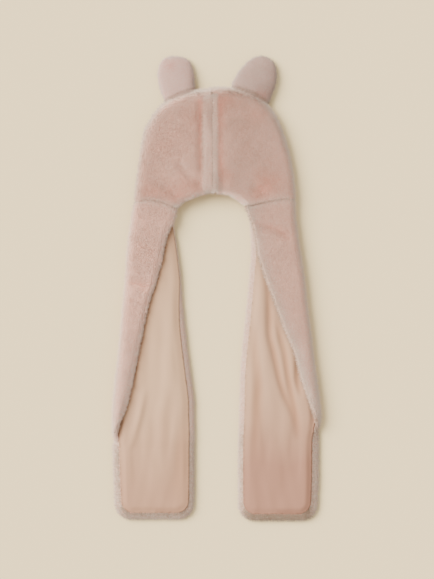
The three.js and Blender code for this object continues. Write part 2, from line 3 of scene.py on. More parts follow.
import bpy
import numpy as np
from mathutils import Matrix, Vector


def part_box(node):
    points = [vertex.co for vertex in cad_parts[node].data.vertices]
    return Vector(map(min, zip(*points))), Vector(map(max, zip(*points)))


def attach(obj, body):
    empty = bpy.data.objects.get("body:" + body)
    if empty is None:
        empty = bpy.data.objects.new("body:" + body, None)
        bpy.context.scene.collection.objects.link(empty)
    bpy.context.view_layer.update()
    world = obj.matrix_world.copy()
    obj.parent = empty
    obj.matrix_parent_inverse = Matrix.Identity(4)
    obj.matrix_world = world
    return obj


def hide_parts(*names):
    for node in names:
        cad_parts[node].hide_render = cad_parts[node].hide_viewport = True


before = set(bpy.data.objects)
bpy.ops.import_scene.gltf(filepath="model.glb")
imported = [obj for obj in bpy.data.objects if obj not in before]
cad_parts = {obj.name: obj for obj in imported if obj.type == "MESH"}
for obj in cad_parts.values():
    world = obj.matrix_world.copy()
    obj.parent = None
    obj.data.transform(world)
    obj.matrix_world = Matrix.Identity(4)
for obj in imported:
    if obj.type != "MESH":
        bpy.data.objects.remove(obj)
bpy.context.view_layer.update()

bl_info = {
    "name": "Animal Hood Scarf",
    "version": (1, 0, 0),
    "blender": (4, 5, 0),
    "location": "3D View > Sidebar > Hood Scarf",
    "description": "A plush hood with animal ears and two long lined tails, laid flat",
    "category": "Object",
}

MM = 0.001
BODY = "root"
FAR = 99  # millimetres, past the reach of every line that changes the pile

# Ground, light and camera
GROUND_SIZE = 14  # metres
WARM_LIGHT = (1.0, 0.893, 0.714)
SUN_WAY = (0.9, -0.45, -0.85)
SUN_FLAT = np.array(SUN_WAY) * (1, 1, 0) / math.hypot(*SUN_WAY[:2])
SUN_ENERGY = 6.7
SUN_SPREAD = 44  # degrees, for soft shadows
SKY_STRENGTH = 0.917
CAMERA_PLACE = (0.00045, -0.00117, 2.907)
CAMERA_LENS = 100
CAMERA_SENSOR = 36

# What a colour is multiplied by in each of these places
SHADE_AND_SEAM = (0.46, 0.44, 0.39)  # painted shade in the pile's creases and on its sides, and the dark dashes of the lining's seam, partly stitches and partly painted shadow of the gap beside it
SHADE = (0.42, 0.345, 0.325)  # the lining beside the flap
PLEAT_SHADE = (0.8, 0.66, 0.58)  # painted shade in the valley of a pleat
NAP = (0.93, 0.9, 0.88)  # the fine nap of the lining
BLUSH = (1.0, 0.86, 0.84)  # a warm patch of pile, from the colour at its root

# The cloth as it was cut and sewn, in millimetres, the same as the solids have it.
FUR_WALL = 8.5
LINING_WALL = 1.5
GAP = 0.3
FOLD_RADIUS = 12.0
HOOD_WIDTH = 293.0
HOOD_HEIGHT = 203.0
SEAM_LENGTH = 190.0
FACE_WIDTH = 120.0
FACE_RISE = 27.0
CROWN_RISE = 10.0
BACK_HEM_SETBACK = 11.0
DENT_DEPTH = 2.5
DENT_WIDTH = 9.0
TAIL_LENGTH = 576.0
TAIL_WIDTH = 145.0
TAIL_FLARE = 40.0
TAIL_CORNER = 26.0
LINING_INSET = 11.5
OPEN_LIFT = 0.9
EAR_WIDTH = 62.0
EAR_LENGTH = 68.0
EAR_THICKNESS = 17.0
EAR_LIFT = 1.0
HEM_SHARE = 0.34

# How the cloth is drawn, in millimetres unless it is a share.
ROOM = 0.7  # how far the backing stays inside the solid's skin, as a share of the pile
SLACK = 0.2  # how far it stays off the solid's inner face
VALLEY_OUT = 4.0  # from the edge of the band by the centre seam to the bottom of the hollow beside it
VALLEY_WIDTH = 9.0
BAND_LIFT = 0.8  # how far that band stands up
BAND_SIDE = (-3.0, 8.0)  # where its side starts, from its edge, and how wide the side is
DOME_SIDE = (0.15, 0.85)  # share of a row where the dome starts to fall, and over how much it falls
DOME_FULL = 0.5  # share of the crown edge by which the dome has its height
DOME_END = (0.7, 0.3)  # and where it starts to fall to the crown, and over how much
HOOD_BOW = 0.25  # share of the crown edge over which the rows follow the bend of the tail's seam
TAIL_BOW = 0.16  # share of a tail's length over which its rows do
SQUARE_END = 0.08  # share of the crown edge at each end over which the fold turns square
FLAP_TURN = 0.6  # turn of the fold, as a share of half a circle, at which the flap has its width
FLAP_DROOP = 2.6  # how far the flap settles on to the lining at its free edge
DROOP_REACH = 14.0  # width of flap that has the whole droop
LINING_CORNER = 21.0  # radius of the lining's corners at the tail's end
INNER_REACH = 3.5  # how much nearer to the inner hem the lining comes than to the outer one
BARE_REACH = 7.5  # and how much more where no fur shows beside it
REACH_FADE = 30.0  # how far in from its hem the lining is pulled by that
PADDING = 3.2  # how far the lining puffs up
PADDING_HEM = 12.0  # over this much inside its hem
PADDING_FOLD = 10.0  # and this much before the fold
PADDING_WAVES = (26, 0.22, 0.27)  # size of the waves in it, their stretch down the tail, and their share
PLEAT_GAIN = 1.4  # height of a pleat over the one in its table
PLEAT_SPREAD = 1.35  # and half width
PLEAT_DEEP = 2.2  # height in the table at which the painted shade in a pleat's valley is as dark as it gets
PLEAT_RIDGE = -0.6  # how far the painted shade may turn to painted light on the ridge of a pleat
EAR_SINK = 8.0  # how far inside the crown edge an ear starts
EAR_INSET = 2.0  # room for the pile round the padding
EAR_CREASE = 1.5  # from the crown edge to the crease at the foot of an ear

# Points across a hood panel's front, fold and back, rows of a panel, and rows and columns of the rest
HOOD_COLUMNS = (34, 10, 24)
HOOD_ROWS = 72
TAIL_GRID = (150, 62)
LINING_GRID = (170, 64)
CORNER_ROWS = 14
EAR_ROWS = 12

# Facts of each side. Outs are shares of half the hood's width, ups of its height, and downs of the
# tail's length, unless they are said to be in millimetres.
# level: the outer end of the tail's seam, up. edge: the crown edge, (out, up).
# hem: over the face, (out as a share of half FACE_WIDTH, down as a share of FACE_RISE).
# back_hem: where the hidden hem meets the tail's seam, as a share of half FACE_WIDTH.
# band: width of the pale band by the centre seam, in millimetres. valley: depth of the hollow beside it,
# in millimetres. band_pale, ledge, crown: how pale the band is, how much painted shade its edge has, how pale
# the crown.
# nap, tail_nap: how far the pile of the hood and of the tail lies aside.
# seam: the seam of the tail, (across, drop). dents: in the front, (from out, from up, to out, to up).
# blush: warm patches of pile, (out, up, reach in millimetres, strength).
# flap_dents: in the flap, (from across, from down, to across, to down).
# flap_shade, flap_edge_shading: how much painted shade the lining has beside the flap, and how much painted
# shade the flap's edge has, with painted light near it and its pile standing more upright.
# bare: where the border of fur inside the lining comes into sight, (from down, to down).
# blush_end, end_shade: how pink the lining gets towards its end, and how much painted shade the border has
# there.
# pleats: in the lining, ((down, across) along the pleat, height and half width in millimetres).
# reach: length of the tail as a share. stations: down a tail, (down, flare, width, flap, turn).
# ear_middle: middle of the ear along the crown edge. ear: from its foot to its tip, (outer out, outer up,
# inner out, inner up, thickness), as shares of the ear. ear_blush: (out, up, reach, strength), the
# first three in millimetres.
SIDES = {
    "left": {
        "sign": -1,
        "level": 0.0,
        "edge": [
            (0.955, 0), (0.912, 0.253), (0.844, 0.585), (0.768, 0.705), (0.645, 0.829),
            (0.498, 0.904), (0.276, 0.965), (0.104, 0.982), (0, 1),
        ],
        "hem": [(1.05, 1), (0.9, 0.64), (0.645, 0.37), (0.375, 0.16), (0, 0)],
        "back_hem": 1.23,
        "band": 16.5,
        "valley": 3.4,
        "band_pale": 0.36,
        "bare": (0.22, 0.42),
        "blush_end": 0.8,
        "end_shade": 0.05,
        "ledge": 0.35,
        "nap": 0.08,
        "tail_nap": -0.3,
        "flap_shade": 1.15,
        "flap_edge_shading": 0.0,
        "crown": 0.45,
        "seam": [(0, 0), (0.33, -0.12), (0.7, 0.25), (1, 1)],
        "dents": [(0.39, 0.315, 0.19, 0.155), (0.57, 0.115, 0.47, 0.07)],
        "blush": [
            (0.77, 0.09, 24, 0.6), (0.42, 0.07, 26, 0.7), (0.17, 0.15, 14, 0.7), (0.22, 0.74, 16, 0.4),
            (0.6, 0.5, 40, 0.25),
        ],
        "flap_dents": [(0.05, 0.253, 0.6, 0.262)],
        "pleats": [
            (((0.58, 0.6), (0.618, 0.63), (0.671, 0.668), (0.72, 0.72), (0.78, 0.79)), 2.3, 5.0),
            (((0.45, 0.3), (0.593, 0.34), (0.671, 0.39), (0.749, 0.38), (0.87, 0.33)), 2.2, 9.0),
            (((0.3, 0.2), (0.5, 0.22), (0.7, 0.25), (0.86, 0.26)), 0.7, 7.0),
            (((0.66, 0.12), (0.75, 0.16), (0.86, 0.18), (0.98, 0.2)), -1.2, 9.0),
        ],
        "reach": 0.995,
        "stations": [
            (0, 0, 0, 1, 1), (0.042, 0.1, 0.07, 0.98, 1), (0.095, 0.22, 0.17, 0.88, 1),
            (0.16, 0.33, 0.29, 0.84, 1), (0.24, 0.41, 0.4, 0.74, 1), (0.317, 0.51, 0.49, 0.6, 1),
            (0.395, 0.61, 0.6, 0.52, 1), (0.473, 0.72, 0.72, 0.46, 1), (0.552, 0.85, 0.86, 0.41, 1),
            (0.623, 0.96, 0.98, 0.35, 1), (0.67, 0.99, 1, 0.25, 0.97), (0.715, 0.99, 1.01, 0.14, 0.82),
            (0.745, 0.985, 1.005, 0.06, 0.42), (0.775, 0.98, 1, 0, 0), (0.87, 0.94, 0.98, 0, 0),
            (1, 0.86, 0.92, 0, 0),
        ],
        "ear_middle": 0.783,
        "ear": [
            (0.52, 0.07, -0.4, 0.29, 1), (0.61, 0.43, -0.4, 0.48, 1), (0.6, 0.7, -0.35, 0.7, 0.92),
            (0.5, 0.92, -0.28, 0.89, 0.78), (0.34, 1.0, -0.1, 0.99, 0.5),
        ],
        "ear_blush": (74.7, 240, 10, 0.9),
    },
    "right": {
        "sign": 1,
        "level": 0.022,
        "edge": [
            (1.012, 0.022), (0.983, 0.226), (0.934, 0.412), (0.876, 0.559), (0.799, 0.709),
            (0.657, 0.857), (0.485, 0.944), (0.313, 0.984), (0.154, 1), (0, 1),
        ],
        "hem": [(0.945, 0.77), (0.825, 0.51), (0.645, 0.27), (0.45, 0.11), (0.15, 0.03), (0, 0)],
        "back_hem": 1.09,
        "band": 9.5,
        "valley": 0.9,
        "band_pale": 0.55,
        "bare": (-0.2, -0.1),
        "blush_end": 1.35,
        "end_shade": 0.85,
        "ledge": 0.0,
        "nap": 0.1,
        "tail_nap": 0.15,
        "flap_shade": 0.5,
        "flap_edge_shading": 0.4,
        "crown": 0.15,
        "seam": [(0, 0), (0.3, 0.12), (0.6, 0.52), (0.85, 0.87), (1, 1)],
        "dents": [(0.14, 0.22, 0.12, 0.09), (0.52, 0.12, 0.6, 0.1)],
        "blush": [
            (0.6, 0.115, 22, 0.9), (0.75, 0.18, 20, 0.5), (0.18, 0.9, 16, 0.8), (0.56, 0.77, 15, 0.5),
            (0.14, 0.22, 14, 0.8),
        ],
        "flap_dents": [(0.9, 0.055, 0.1, 0.112)],
        "pleats": [
            (((0.18, 0.25), (0.288, 0.34), (0.366, 0.37), (0.429, 0.385), (0.476, 0.44), (0.522, 0.482),
              (0.569, 0.52), (0.616, 0.57), (0.663, 0.64), (0.76, 0.75)), -3.2, 4.8),
            (((0.36, 0.46), (0.413, 0.52), (0.476, 0.6), (0.522, 0.62), (0.569, 0.635), (0.616, 0.655),
              (0.663, 0.69), (0.76, 0.77)), -3.0, 4.5),
            (((0.48, 0.79), (0.519, 0.774), (0.572, 0.75), (0.62, 0.78)), -2.4, 3.5),
            (((0.38, 0.12), (0.476, 0.18), (0.569, 0.23), (0.647, 0.21), (0.726, 0.21), (0.84, 0.2)),
             -1.8, 7.0),
            (((0.25, 0.2), (0.4, 0.3), (0.55, 0.37), (0.72, 0.42)), 1.3, 7.0),
        ],
        "reach": 1.007,
        "stations": [
            (0, 0, 0, 1, 1), (0.05, 0, -0.03, 0.88, 1), (0.103, 0.09, -0.01, 0.85, 1),
            (0.17, 0.23, 0.07, 0.84, 1), (0.247, 0.4, 0.23, 0.76, 1), (0.325, 0.52, 0.37, 0.63, 1),
            (0.403, 0.67, 0.54, 0.52, 1), (0.481, 0.8, 0.7, 0.37, 1), (0.56, 0.95, 0.85, 0.31, 1),
            (0.631, 1.1, 0.96, 0.22, 1), (0.678, 1.16, 1.01, 0.15, 0.93), (0.712, 1.12, 0.995, 0.07, 0.6),
            (0.737, 1.08, 0.98, 0.02, 0.22), (0.765, 1.05, 0.97, 0, 0), (0.88, 1.04, 0.97, 0, 0),
            (1.01, 0.96, 0.9, 0, 0),
        ],
        "ear_middle": 0.742,
        "ear": [
            (0.59, 0.05, -0.57, 0.31, 1), (0.68, 0.4, -0.41, 0.55, 1),
            (0.68, 0.64, -0.22, 0.77, 0.92), (0.61, 0.85, -0.02, 0.93, 0.75),
            (0.44, 0.97, 0.2, 0.99, 0.45),
        ],
        "ear_blush": (89, 190, 10, 0.8),
    },
}


def length_prop(name, description, default):
    """A length for the panel, given here in millimetres."""
    return bpy.props.FloatProperty(
        name=name, description=description, default=default * MM, min=0, unit="LENGTH", precision=5
    )


def colour_prop(name, description, default):
    return bpy.props.FloatVectorProperty(
        name=name, description=description, default=default, size=3, min=0, max=1, subtype="COLOR"
    )


class ScarfSizes(bpy.types.PropertyGroup):
    pile: length_prop("Pile length", "How far the pile stands off its backing", 5.6)
    strand: length_prop("Strand width", "Width of a strand of pile at its root", 0.8)
    tuft: length_prop("Tuft size", "Size of the tufts that the pile gathers into", 3.4)
    gather: bpy.props.FloatProperty(
        name="Gather", description="How far the tips of a tuft draw together", default=0.14, min=0, max=1
    )
    lean: bpy.props.FloatProperty(
        name="Lean", description="How far the pile lies over, as a share of its height",
        default=0.68, min=0, max=2,
    )
    hood_strands: bpy.props.IntProperty(
        name="Hood strands", description="Strands of pile on each hood panel", default=150000, min=1000
    )
    tail_strands: bpy.props.IntProperty(
        name="Tail strands", description="Strands of pile on each tail", default=165000, min=1000
    )
    ear_strands: bpy.props.IntProperty(
        name="Ear strands", description="Strands of pile on each ear", default=45000, min=1000
    )
    ear_pressure: bpy.props.FloatProperty(
        name="Ear filling", description="Pressure that plumps the ears", default=4.0, min=0
    )
    stitch: length_prop("Stitch length", "Length of one stitch along a seam", 4.2)
    thread: length_prop("Thread width", "Thickness of the sewing thread", 1.3)


class ScarfColours(bpy.types.PropertyGroup):
    root: colour_prop("Fur root", "Pile colour at the backing", (0.93, 0.55, 0.47))
    tip: colour_prop("Fur tip", "Pile colour at the tips", (1.0, 0.69, 0.62))
    # frost is blended in at pale tips and tufts, and as painted light where the cloth turns over at a rim.
    frost: colour_prop("Fur frost", "Colour of the pile where it is seen edge on", (0.9, 0.76, 0.72))
    lining: colour_prop("Lining", "Colour of the lining near the hood", (0.62, 0.42, 0.3))
    lining_low: colour_prop("Lining end", "Colour of the lining towards the tails' ends", (0.42, 0.235, 0.18))
    thread: colour_prop("Thread", "Colour of the sewing thread", (0.34, 0.22, 0.18))
    floor: colour_prop("Floor", "Colour of the surface below", (0.95, 0.82, 0.549))


# Curves and tables

def smooth(value):
    x = np.clip(value, 0, 1)
    return x * x * (3 - 2 * x)


def ramp(value, start, span):
    """Smoothly from 0 at a start to 1 a span further on."""
    return smooth((value - start) / span)


def bell(distance, reach):
    """1 on a line, and next to nothing at twice a reach from it."""
    return np.exp(-((distance / reach) ** 2))


def mix(a, b, share):
    return a + (b - a) * share


def read(table, column, at):
    """One column of a table at places given by its first column, with no corner at the rows."""
    x = np.array([row[0] for row in table], float)
    y = np.array([row[column] for row in table], float)
    last = len(x) - 1
    slope = np.array([
        (y[min(i + 1, last)] - y[max(i - 1, 0)]) / (x[min(i + 1, last)] - x[max(i - 1, 0)])
        for i in range(len(x))
    ])
    at = np.asarray(at, float)
    row = np.clip(np.searchsorted(x, at, side="right") - 1, 0, last - 1)
    span = x[row + 1] - x[row]
    share = np.clip((at - x[row]) / span, 0, 1)
    rise = share * (1 - share) * ((1 - share) * slope[row] - share * slope[row + 1]) * span
    return y[row] + (y[row + 1] - y[row]) * smooth(share) + rise


class Curve:
    """A smooth plane curve through points, read by the share of its length."""

    FINE = 1600  # points that stand for it
    COARSE = 25  # every so many of them are enough for a distance
    STEP = 0.004  # share of the length on each side over which a tangent is read

    def __init__(self, points):
        points = np.array(points, float)
        last = len(points) - 1
        fine = np.linspace(0, last, self.FINE)
        i = np.minimum(fine.astype(int), last - 1)
        t = (fine - i)[:, None]
        before, start = points[np.maximum(i - 1, 0)], points[i]
        end, after = points[i + 1], points[np.minimum(i + 2, last)]
        out, into = (end - before) / 2, (after - start) / 2
        self.points = (
            (2 * start - 2 * end + out + into) * t**3
            + (3 * end - 3 * start - 2 * out - into) * t**2 + out * t + start
        )
        steps = np.linalg.norm(np.diff(self.points, axis=0), axis=1)
        self.places = np.concatenate([[0], np.cumsum(steps)])
        self.length = self.places[-1]

    def at(self, share):
        place = np.clip(share, 0, 1) * self.length
        return np.stack([np.interp(place, self.places, self.points[:, k]) for k in (0, 1)], -1)

    def tangent(self, share):
        share = np.asarray(share)
        return unit(self.at(share + self.STEP) - self.at(share - self.STEP))

    def distance(self, points):
        """Distance from plane points to the curve."""
        line = self.points[::self.COARSE]
        flat = points.reshape(-1, 2)
        best = np.full(len(flat), 1e9)
        for start, end in zip(line[:-1], line[1:]):
            best = np.minimum(best, distance_to_line(flat, start, end))
        return best.reshape(points.shape[:-1])


def distance_to_line(points, start, end):
    along = end - start
    share = np.clip(((points - start) @ along) / (along @ along), 0, 1)
    return np.linalg.norm(points - start - share[..., None] * along, axis=-1)


def near_line(points, start, end, width):
    """How strongly a soft line between two points is felt, from 0 to 1."""
    return bell(distance_to_line(points, np.array(start), np.array(end)), width)


def unit(vectors):
    return vectors / np.maximum(np.linalg.norm(vectors, axis=-1, keepdims=True), 1e-9)


def ripple(points, size, seed, waves=9):
    """A smooth random field from -1 to 1 over points in millimetres, with waves of about a size."""
    rng = np.random.default_rng(seed)
    total = np.zeros(points.shape[:-1])
    for _ in range(waves):
        way = rng.normal(size=3)
        way *= 2 * np.pi / (size * rng.uniform(0.7, 1.7)) / np.linalg.norm(way)
        total += np.sin(points @ way + rng.uniform(0, 2 * np.pi))
    return np.tanh(total / 3)


# Where the pieces lie

hood_left, hood_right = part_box("hood_panel_left"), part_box("hood_panel_right")
SEAM_X = (hood_left[1].x + hood_right[0].x) / 2 / MM
BASE_Y = hood_left[1].y / MM - HOOD_HEIGHT


class Side:
    """One half of the hood and its tail, drawn as distance out from the centre seam and height up.
    inset is how far the drawn cloth stays back from its open hems."""

    def __init__(self, name, inset=0.0):
        self.facts = SIDES[name]
        self.sign = self.facts["sign"]
        half = HOOD_WIDTH / 2
        face = FACE_WIDTH / 2 + inset
        self.hem_top = HOOD_HEIGHT - SEAM_LENGTH + inset
        self.edge = Curve([(out * half, up * HOOD_HEIGHT) for out, up in self.facts["edge"]])
        hem = self.facts["hem"]
        self.hem = Curve([(out * face, self.hem_top - down * FACE_RISE) for out, down in hem])
        self.level = self.facts["level"] * HOOD_HEIGHT
        self.seam_outer = self.facts["edge"][0][0] * half
        self.seam_inner = hem[0][0] * FACE_WIDTH / 2
        self.seam_width = self.seam_outer - self.seam_inner
        self.seam_drop = self.level - (HOOD_HEIGHT - SEAM_LENGTH - hem[0][1] * FACE_RISE)
        self.back_out = self.facts["back_hem"] * FACE_WIDTH / 2
        first = self.back_out + inset
        back = [(first, self.seam_up(first))]
        for out, down in hem[1:]:
            back.append((out * face, self.hem_top - down * FACE_RISE + BACK_HEM_SETBACK))
        self.back = Curve(back)

    def seam_up(self, out):
        across = (self.seam_outer - np.asarray(out, float)) / self.seam_width
        return self.level - read(self.facts["seam"], 1, across) * self.seam_drop

    def world(self, out, up, z):
        """Points of the scene, in millimetres."""
        return np.stack([self.sign * (out + GAP / 2) + SEAM_X, up + BASE_Y, z + 0 * out], -1)


def edge_normal(side, at):
    """Direction away from the hood at a place on its crown edge."""
    tangent = side.edge.tangent(at)
    normal = np.stack([tangent[..., 1], -tangent[..., 0]], -1)
    flip = normal[..., 0] * tangent[..., 1] < 0
    normal = np.where(flip[..., None], -normal, normal)
    square = np.where((at < 0.5)[..., None], [1.0, 0.0], [0.0, 1.0])
    near = (1 - smooth(np.minimum(at, 1 - at) / SQUARE_END))[..., None]
    return unit(mix(normal, square, near))


def hood_grid(side, depth, rows=HOOD_ROWS):
    """Points of a hood panel at a depth into the cloth, row by row along the crown edge, from the front
    hem or centre seam round the folded edge to the back."""
    front_steps, turn_steps, back_steps = HOOD_COLUMNS
    at = np.linspace(0, 1, rows)[:, None]
    rim = side.edge.at(at[:, 0])
    normal = edge_normal(side, at[:, 0])
    fold = rim - FOLD_RADIUS * normal
    fade = 1 - smooth(at / HOOD_BOW)
    front, share, bow = hood_layer(side, side.hem, side.hem_top, at, fold, fade, front_steps)
    back, _, _ = hood_layer(side, side.back, side.hem_top + BACK_HEM_SETBACK, at, fold, fade, back_steps)
    angle = np.linspace(0, np.pi, turn_steps + 2)[None, 1:-1]
    radius = FOLD_RADIUS - depth
    turn = fold[:, None] + radius * np.sin(angle)[..., None] * normal[:, None]
    turn[..., 1] += bow[-1] * fade
    turn[0, :, 1] = side.seam_up(turn[0, :, 0])
    plane = np.concatenate([front, turn, back[:, ::-1]], 1)
    height = np.concatenate([
        front_height(side, front, share, at) - depth,
        FOLD_RADIUS + radius * np.cos(angle) + 0 * at,
        np.full(back.shape[:2], float(depth)),
    ], 1)
    return side.world(plane[..., 0], plane[..., 1], height)


def hood_layer(side, hem, hem_top, at, fold, fade, steps):
    """A layer of a hood panel in its plane: its points from its hem or the centre seam to the fold, the
    share of the way there, and how far the bend of the tail's seam moves each column."""
    seam_end = side.edge.at(1.0)[1] - FOLD_RADIUS
    climb = np.clip((at[:, 0] - HEM_SHARE) / (1 - HEM_SHARE), 0, 1)
    seam = np.stack([0 * climb, mix(hem_top, seam_end, climb)], -1)
    start = np.where(at <= HEM_SHARE, hem.at(at[:, 0] / HEM_SHARE), seam)
    share = np.linspace(0, 1, steps)[None, :]
    points = start[:, None] + (fold - start)[:, None] * share[..., None]
    bow = side.seam_up(points[0, :, 0]) - points[0, :, 1]
    points[..., 1] += bow * fade
    return points, share, bow


def front_height(side, points, share, at):
    """Height of the hood's front layer: a dome with a hollow by the centre seam's band, and dents."""
    dome_top = 1 - ramp(at, *DOME_END)
    dome = CROWN_RISE * (1 - ramp(share, *DOME_SIDE))
    past_band = points[..., 0] - side.facts["band"]
    valley = side.facts["valley"] * bell(past_band - VALLEY_OUT, VALLEY_WIDTH)
    height = 2 * FOLD_RADIUS + np.maximum(dome - valley, 0) * smooth(at / DOME_FULL) * dome_top
    height = height + BAND_LIFT * (1 - ramp(past_band, *BAND_SIDE)) * dome_top
    half = HOOD_WIDTH / 2
    for out0, up0, out1, up1 in side.facts["dents"]:
        ends = (out0 * half, up0 * HOOD_HEIGHT), (out1 * half, up1 * HOOD_HEIGHT)
        height = height - DENT_DEPTH * near_line(points, *ends, DENT_WIDTH)
    return height


def tail_section(side, down):
    """Cross-section of a tail at distances down from its seam."""
    share = down / TAIL_LENGTH
    flare, width, flap, turn = (read(side.facts["stations"], k, share) for k in (1, 2, 3, 4))
    turn = np.clip(turn, 0, 1)
    angle = np.pi * turn
    width = mix(side.seam_outer - side.back_out, TAIL_WIDTH, width)
    start = FOLD_RADIUS * np.sin(np.minimum(angle, np.pi / 2))
    base = width - start
    arc = FOLD_RADIUS * angle
    straight = np.maximum(np.maximum(flap, 0) * side.seam_width - FOLD_RADIUS, 0) * smooth(turn / FLAP_TURN)
    return {
        "outer": side.seam_outer + flare * TAIL_FLARE,
        "width": width, "start": start, "base": base, "arc": arc, "angle": angle, "turn": turn,
        "total": base + arc + straight,
    }


def tail_points(side, down, along, depth):
    """Points of a tail at distances down from its seam and along its cross-section."""
    cut = tail_section(side, down)
    radius = FOLD_RADIUS - depth
    turned = np.clip((along - cut["base"]) / FOLD_RADIUS, 0, cut["angle"])
    past = np.maximum(along - cut["base"] - cut["arc"], 0)
    flat = along <= cut["base"]
    folded_in = cut["start"] - radius * np.sin(turned) - past * np.cos(cut["angle"])
    inward = np.where(flat, cut["width"] - along, folded_in)
    folded_up = FOLD_RADIUS - radius * np.cos(turned) + past * np.sin(cut["angle"])
    reach = np.maximum(cut["total"] - cut["base"] - cut["arc"], 1)
    folded_up = folded_up - FLAP_DROOP * smooth(past / reach) * smooth(reach / DROOP_REACH)
    z = np.where(flat, depth, folded_up)
    out = cut["outer"] - inward
    fade = 1 - smooth(down / (TAIL_BOW * TAIL_LENGTH))
    bow = side.seam_up(out[:1]) - side.level
    return side.world(out, side.level - GAP - down + bow * fade, z)


def tail_places(side, inset, grid, corner=None):
    """Even places down and along a tail, set in from its hems, with round corners at its end."""
    rows, columns = grid
    length = side.facts["reach"] * TAIL_LENGTH
    end = length - inset
    corner = TAIL_CORNER - inset if corner is None else corner
    down = np.concatenate([
        np.linspace(0, end - corner, rows - CORNER_ROWS, endpoint=False),
        end - corner * (1 - np.sin(np.linspace(0, np.pi / 2, CORNER_ROWS))),
    ])[:, None]
    total = tail_section(side, down)["total"]
    share = np.linspace(0, 1, columns)[None, :]
    over = np.maximum(down - (end - corner), 0)
    cut = corner - np.sqrt(np.maximum(corner**2 - over**2, 0))
    along = inset + mix(cut, total - 2 * inset - cut, share)
    return down + 0 * along, along, total, length


def lining_hem(along, total, down, length):
    """Distance from the lining's hem, with its round corners."""
    hem = np.minimum(np.minimum(along, total - along), length - down) - LINING_INSET
    pair = np.stack([np.minimum(along, total - along) - LINING_INSET, length - down - LINING_INSET])
    over = np.maximum(LINING_CORNER - pair, 0)
    return np.where(over.min(0) > 0, LINING_CORNER - np.hypot(*over), hem)


def hem_distance(along, total, down, length):
    """Distance from the tail's hem, with its round corners."""
    side = np.minimum(along, total - along)
    to_end = length - down
    inside = TAIL_CORNER - np.hypot(np.maximum(TAIL_CORNER - side, 0), np.maximum(TAIL_CORNER - to_end, 0))
    return np.where((side < TAIL_CORNER) & (to_end < TAIL_CORNER), inside, np.minimum(side, to_end))


def near_flap_dents(side, down, along):
    """How near a place on the tail's folded part lies to one of its dents, from 0 to 1."""
    return np.minimum(flap_dent(side, down, along) / DENT_DEPTH, 1)


def flap_dent(side, down, along):
    """Depth of the dents in the tail's folded part."""
    cut = tail_section(side, down)
    reach = cut["total"] - cut["base"] - cut["arc"]
    past = along - cut["base"] - cut["arc"]
    dent = 0 * along
    for across0, down0, across1, down1 in side.facts["flap_dents"]:
        start = np.stack([across0 * reach, down0 * TAIL_LENGTH + 0 * reach], -1)
        end = np.stack([across1 * reach, down1 * TAIL_LENGTH + 0 * reach], -1)
        line = end - start
        to = np.stack([past, down], -1) - start
        share = np.clip((to * line).sum(-1) / (line * line).sum(-1), 0, 1)
        gap = np.linalg.norm(to - share[..., None] * line, axis=-1)
        dent = dent + DENT_DEPTH * bell(gap, DENT_WIDTH)
    return np.where(along < cut["base"] + cut["arc"] / 2, 0, dent)


def lining_pleats(side, down, along):
    """Soft pleats of the lining on the tail's flat base: height, and how deep in a valley a place is."""
    cut = tail_section(side, down)
    rise = 0 * along
    valley = 0 * along
    for line, height, width in side.facts["pleats"]:
        line = np.array(line)
        share = np.clip((down / TAIL_LENGTH - line[0, 0]) / (line[-1, 0] - line[0, 0]), 0, 1)
        across = read(line, 1, down / TAIL_LENGTH) * cut["width"]
        near = bell(along - across, width * PLEAT_SPREAD) * np.sin(np.pi * share) ** 0.8
        rise = rise + PLEAT_GAIN * height * near
        valley = valley - np.sign(height) * near * min(abs(height) / PLEAT_DEEP, 1)
    fade = smooth((cut["base"] - along) / 6)
    return rise * fade, np.clip(valley, PLEAT_RIDGE, 1) * fade


def lining_rise(side, down, along, hem):
    """How high the lining stands off the fur: padded inside its hem, pleated, and lifted where the
    fold opens out."""
    cut = tail_section(side, down)
    size, stretch, share = PADDING_WAVES
    waves = ripple(np.stack([along, down * stretch, 0 * down + 0 * along], -1), size, 5)
    padding = PADDING * smooth(hem / PADDING_HEM) * smooth((cut["base"] - along) / PADDING_FOLD)
    opening = OPEN_LIFT * 4 * cut["turn"] * (1 - cut["turn"])
    pleats = lining_pleats(side, down, along)[0] * smooth(hem / 6)
    return np.maximum(padding * (1 + share * waves) + opening + pleats, 0)


# Shade of the flap on the lining: strengths and reaches in millimetres, and the share of it that a flap
# of next to no width has, up to the width at which it has it all.
FLAP_SHADES = ((0.8, 3.4), (0.44, 9), (0.1, 30))
NARROW_SHADE = 0.45
NARROW_FLAP = 25


def flap_shade(side, down, along):
    """How deep a place on the lining lies in the shade of the flap beside it, from 0 to 1."""
    cut = tail_section(side, down)
    past = cut["total"] - cut["base"] - cut["arc"]
    edge = cut["start"] - (FOLD_RADIUS - FUR_WALL) * np.sin(cut["angle"]) - past * np.cos(cut["angle"])
    near = np.maximum(cut["width"] - along - edge, 0)
    shade = sum(strength * np.exp(-near / reach) for strength, reach in FLAP_SHADES)
    narrow = mix(NARROW_SHADE, 1, smooth(past / NARROW_FLAP))
    return shade * smooth(cut["turn"] / FLAP_TURN) * side.facts["flap_shade"] * narrow


# Meshes

def mesh_object(name, points, faces, material):
    """A piece from points in millimetres and faces that all have the same number of corners."""
    mesh = bpy.data.meshes.new(name)
    faces = np.asarray(faces, np.int32)
    mesh.vertices.add(len(points))
    mesh.vertices.foreach_set("co", (np.asarray(points, float) * MM).astype(np.float32).ravel())
    mesh.loops.add(faces.size)
    mesh.loops.foreach_set("vertex_index", faces.ravel())
    mesh.polygons.add(len(faces))
    mesh.polygons.foreach_set("loop_start", np.arange(len(faces), dtype=np.int32) * faces.shape[1])
    mesh.update(calc_edges=True)
    mesh.shade_smooth()
    mesh.materials.append(material)
    made = bpy.data.objects.new(name, mesh)
    bpy.context.collection.objects.link(made)
    return made


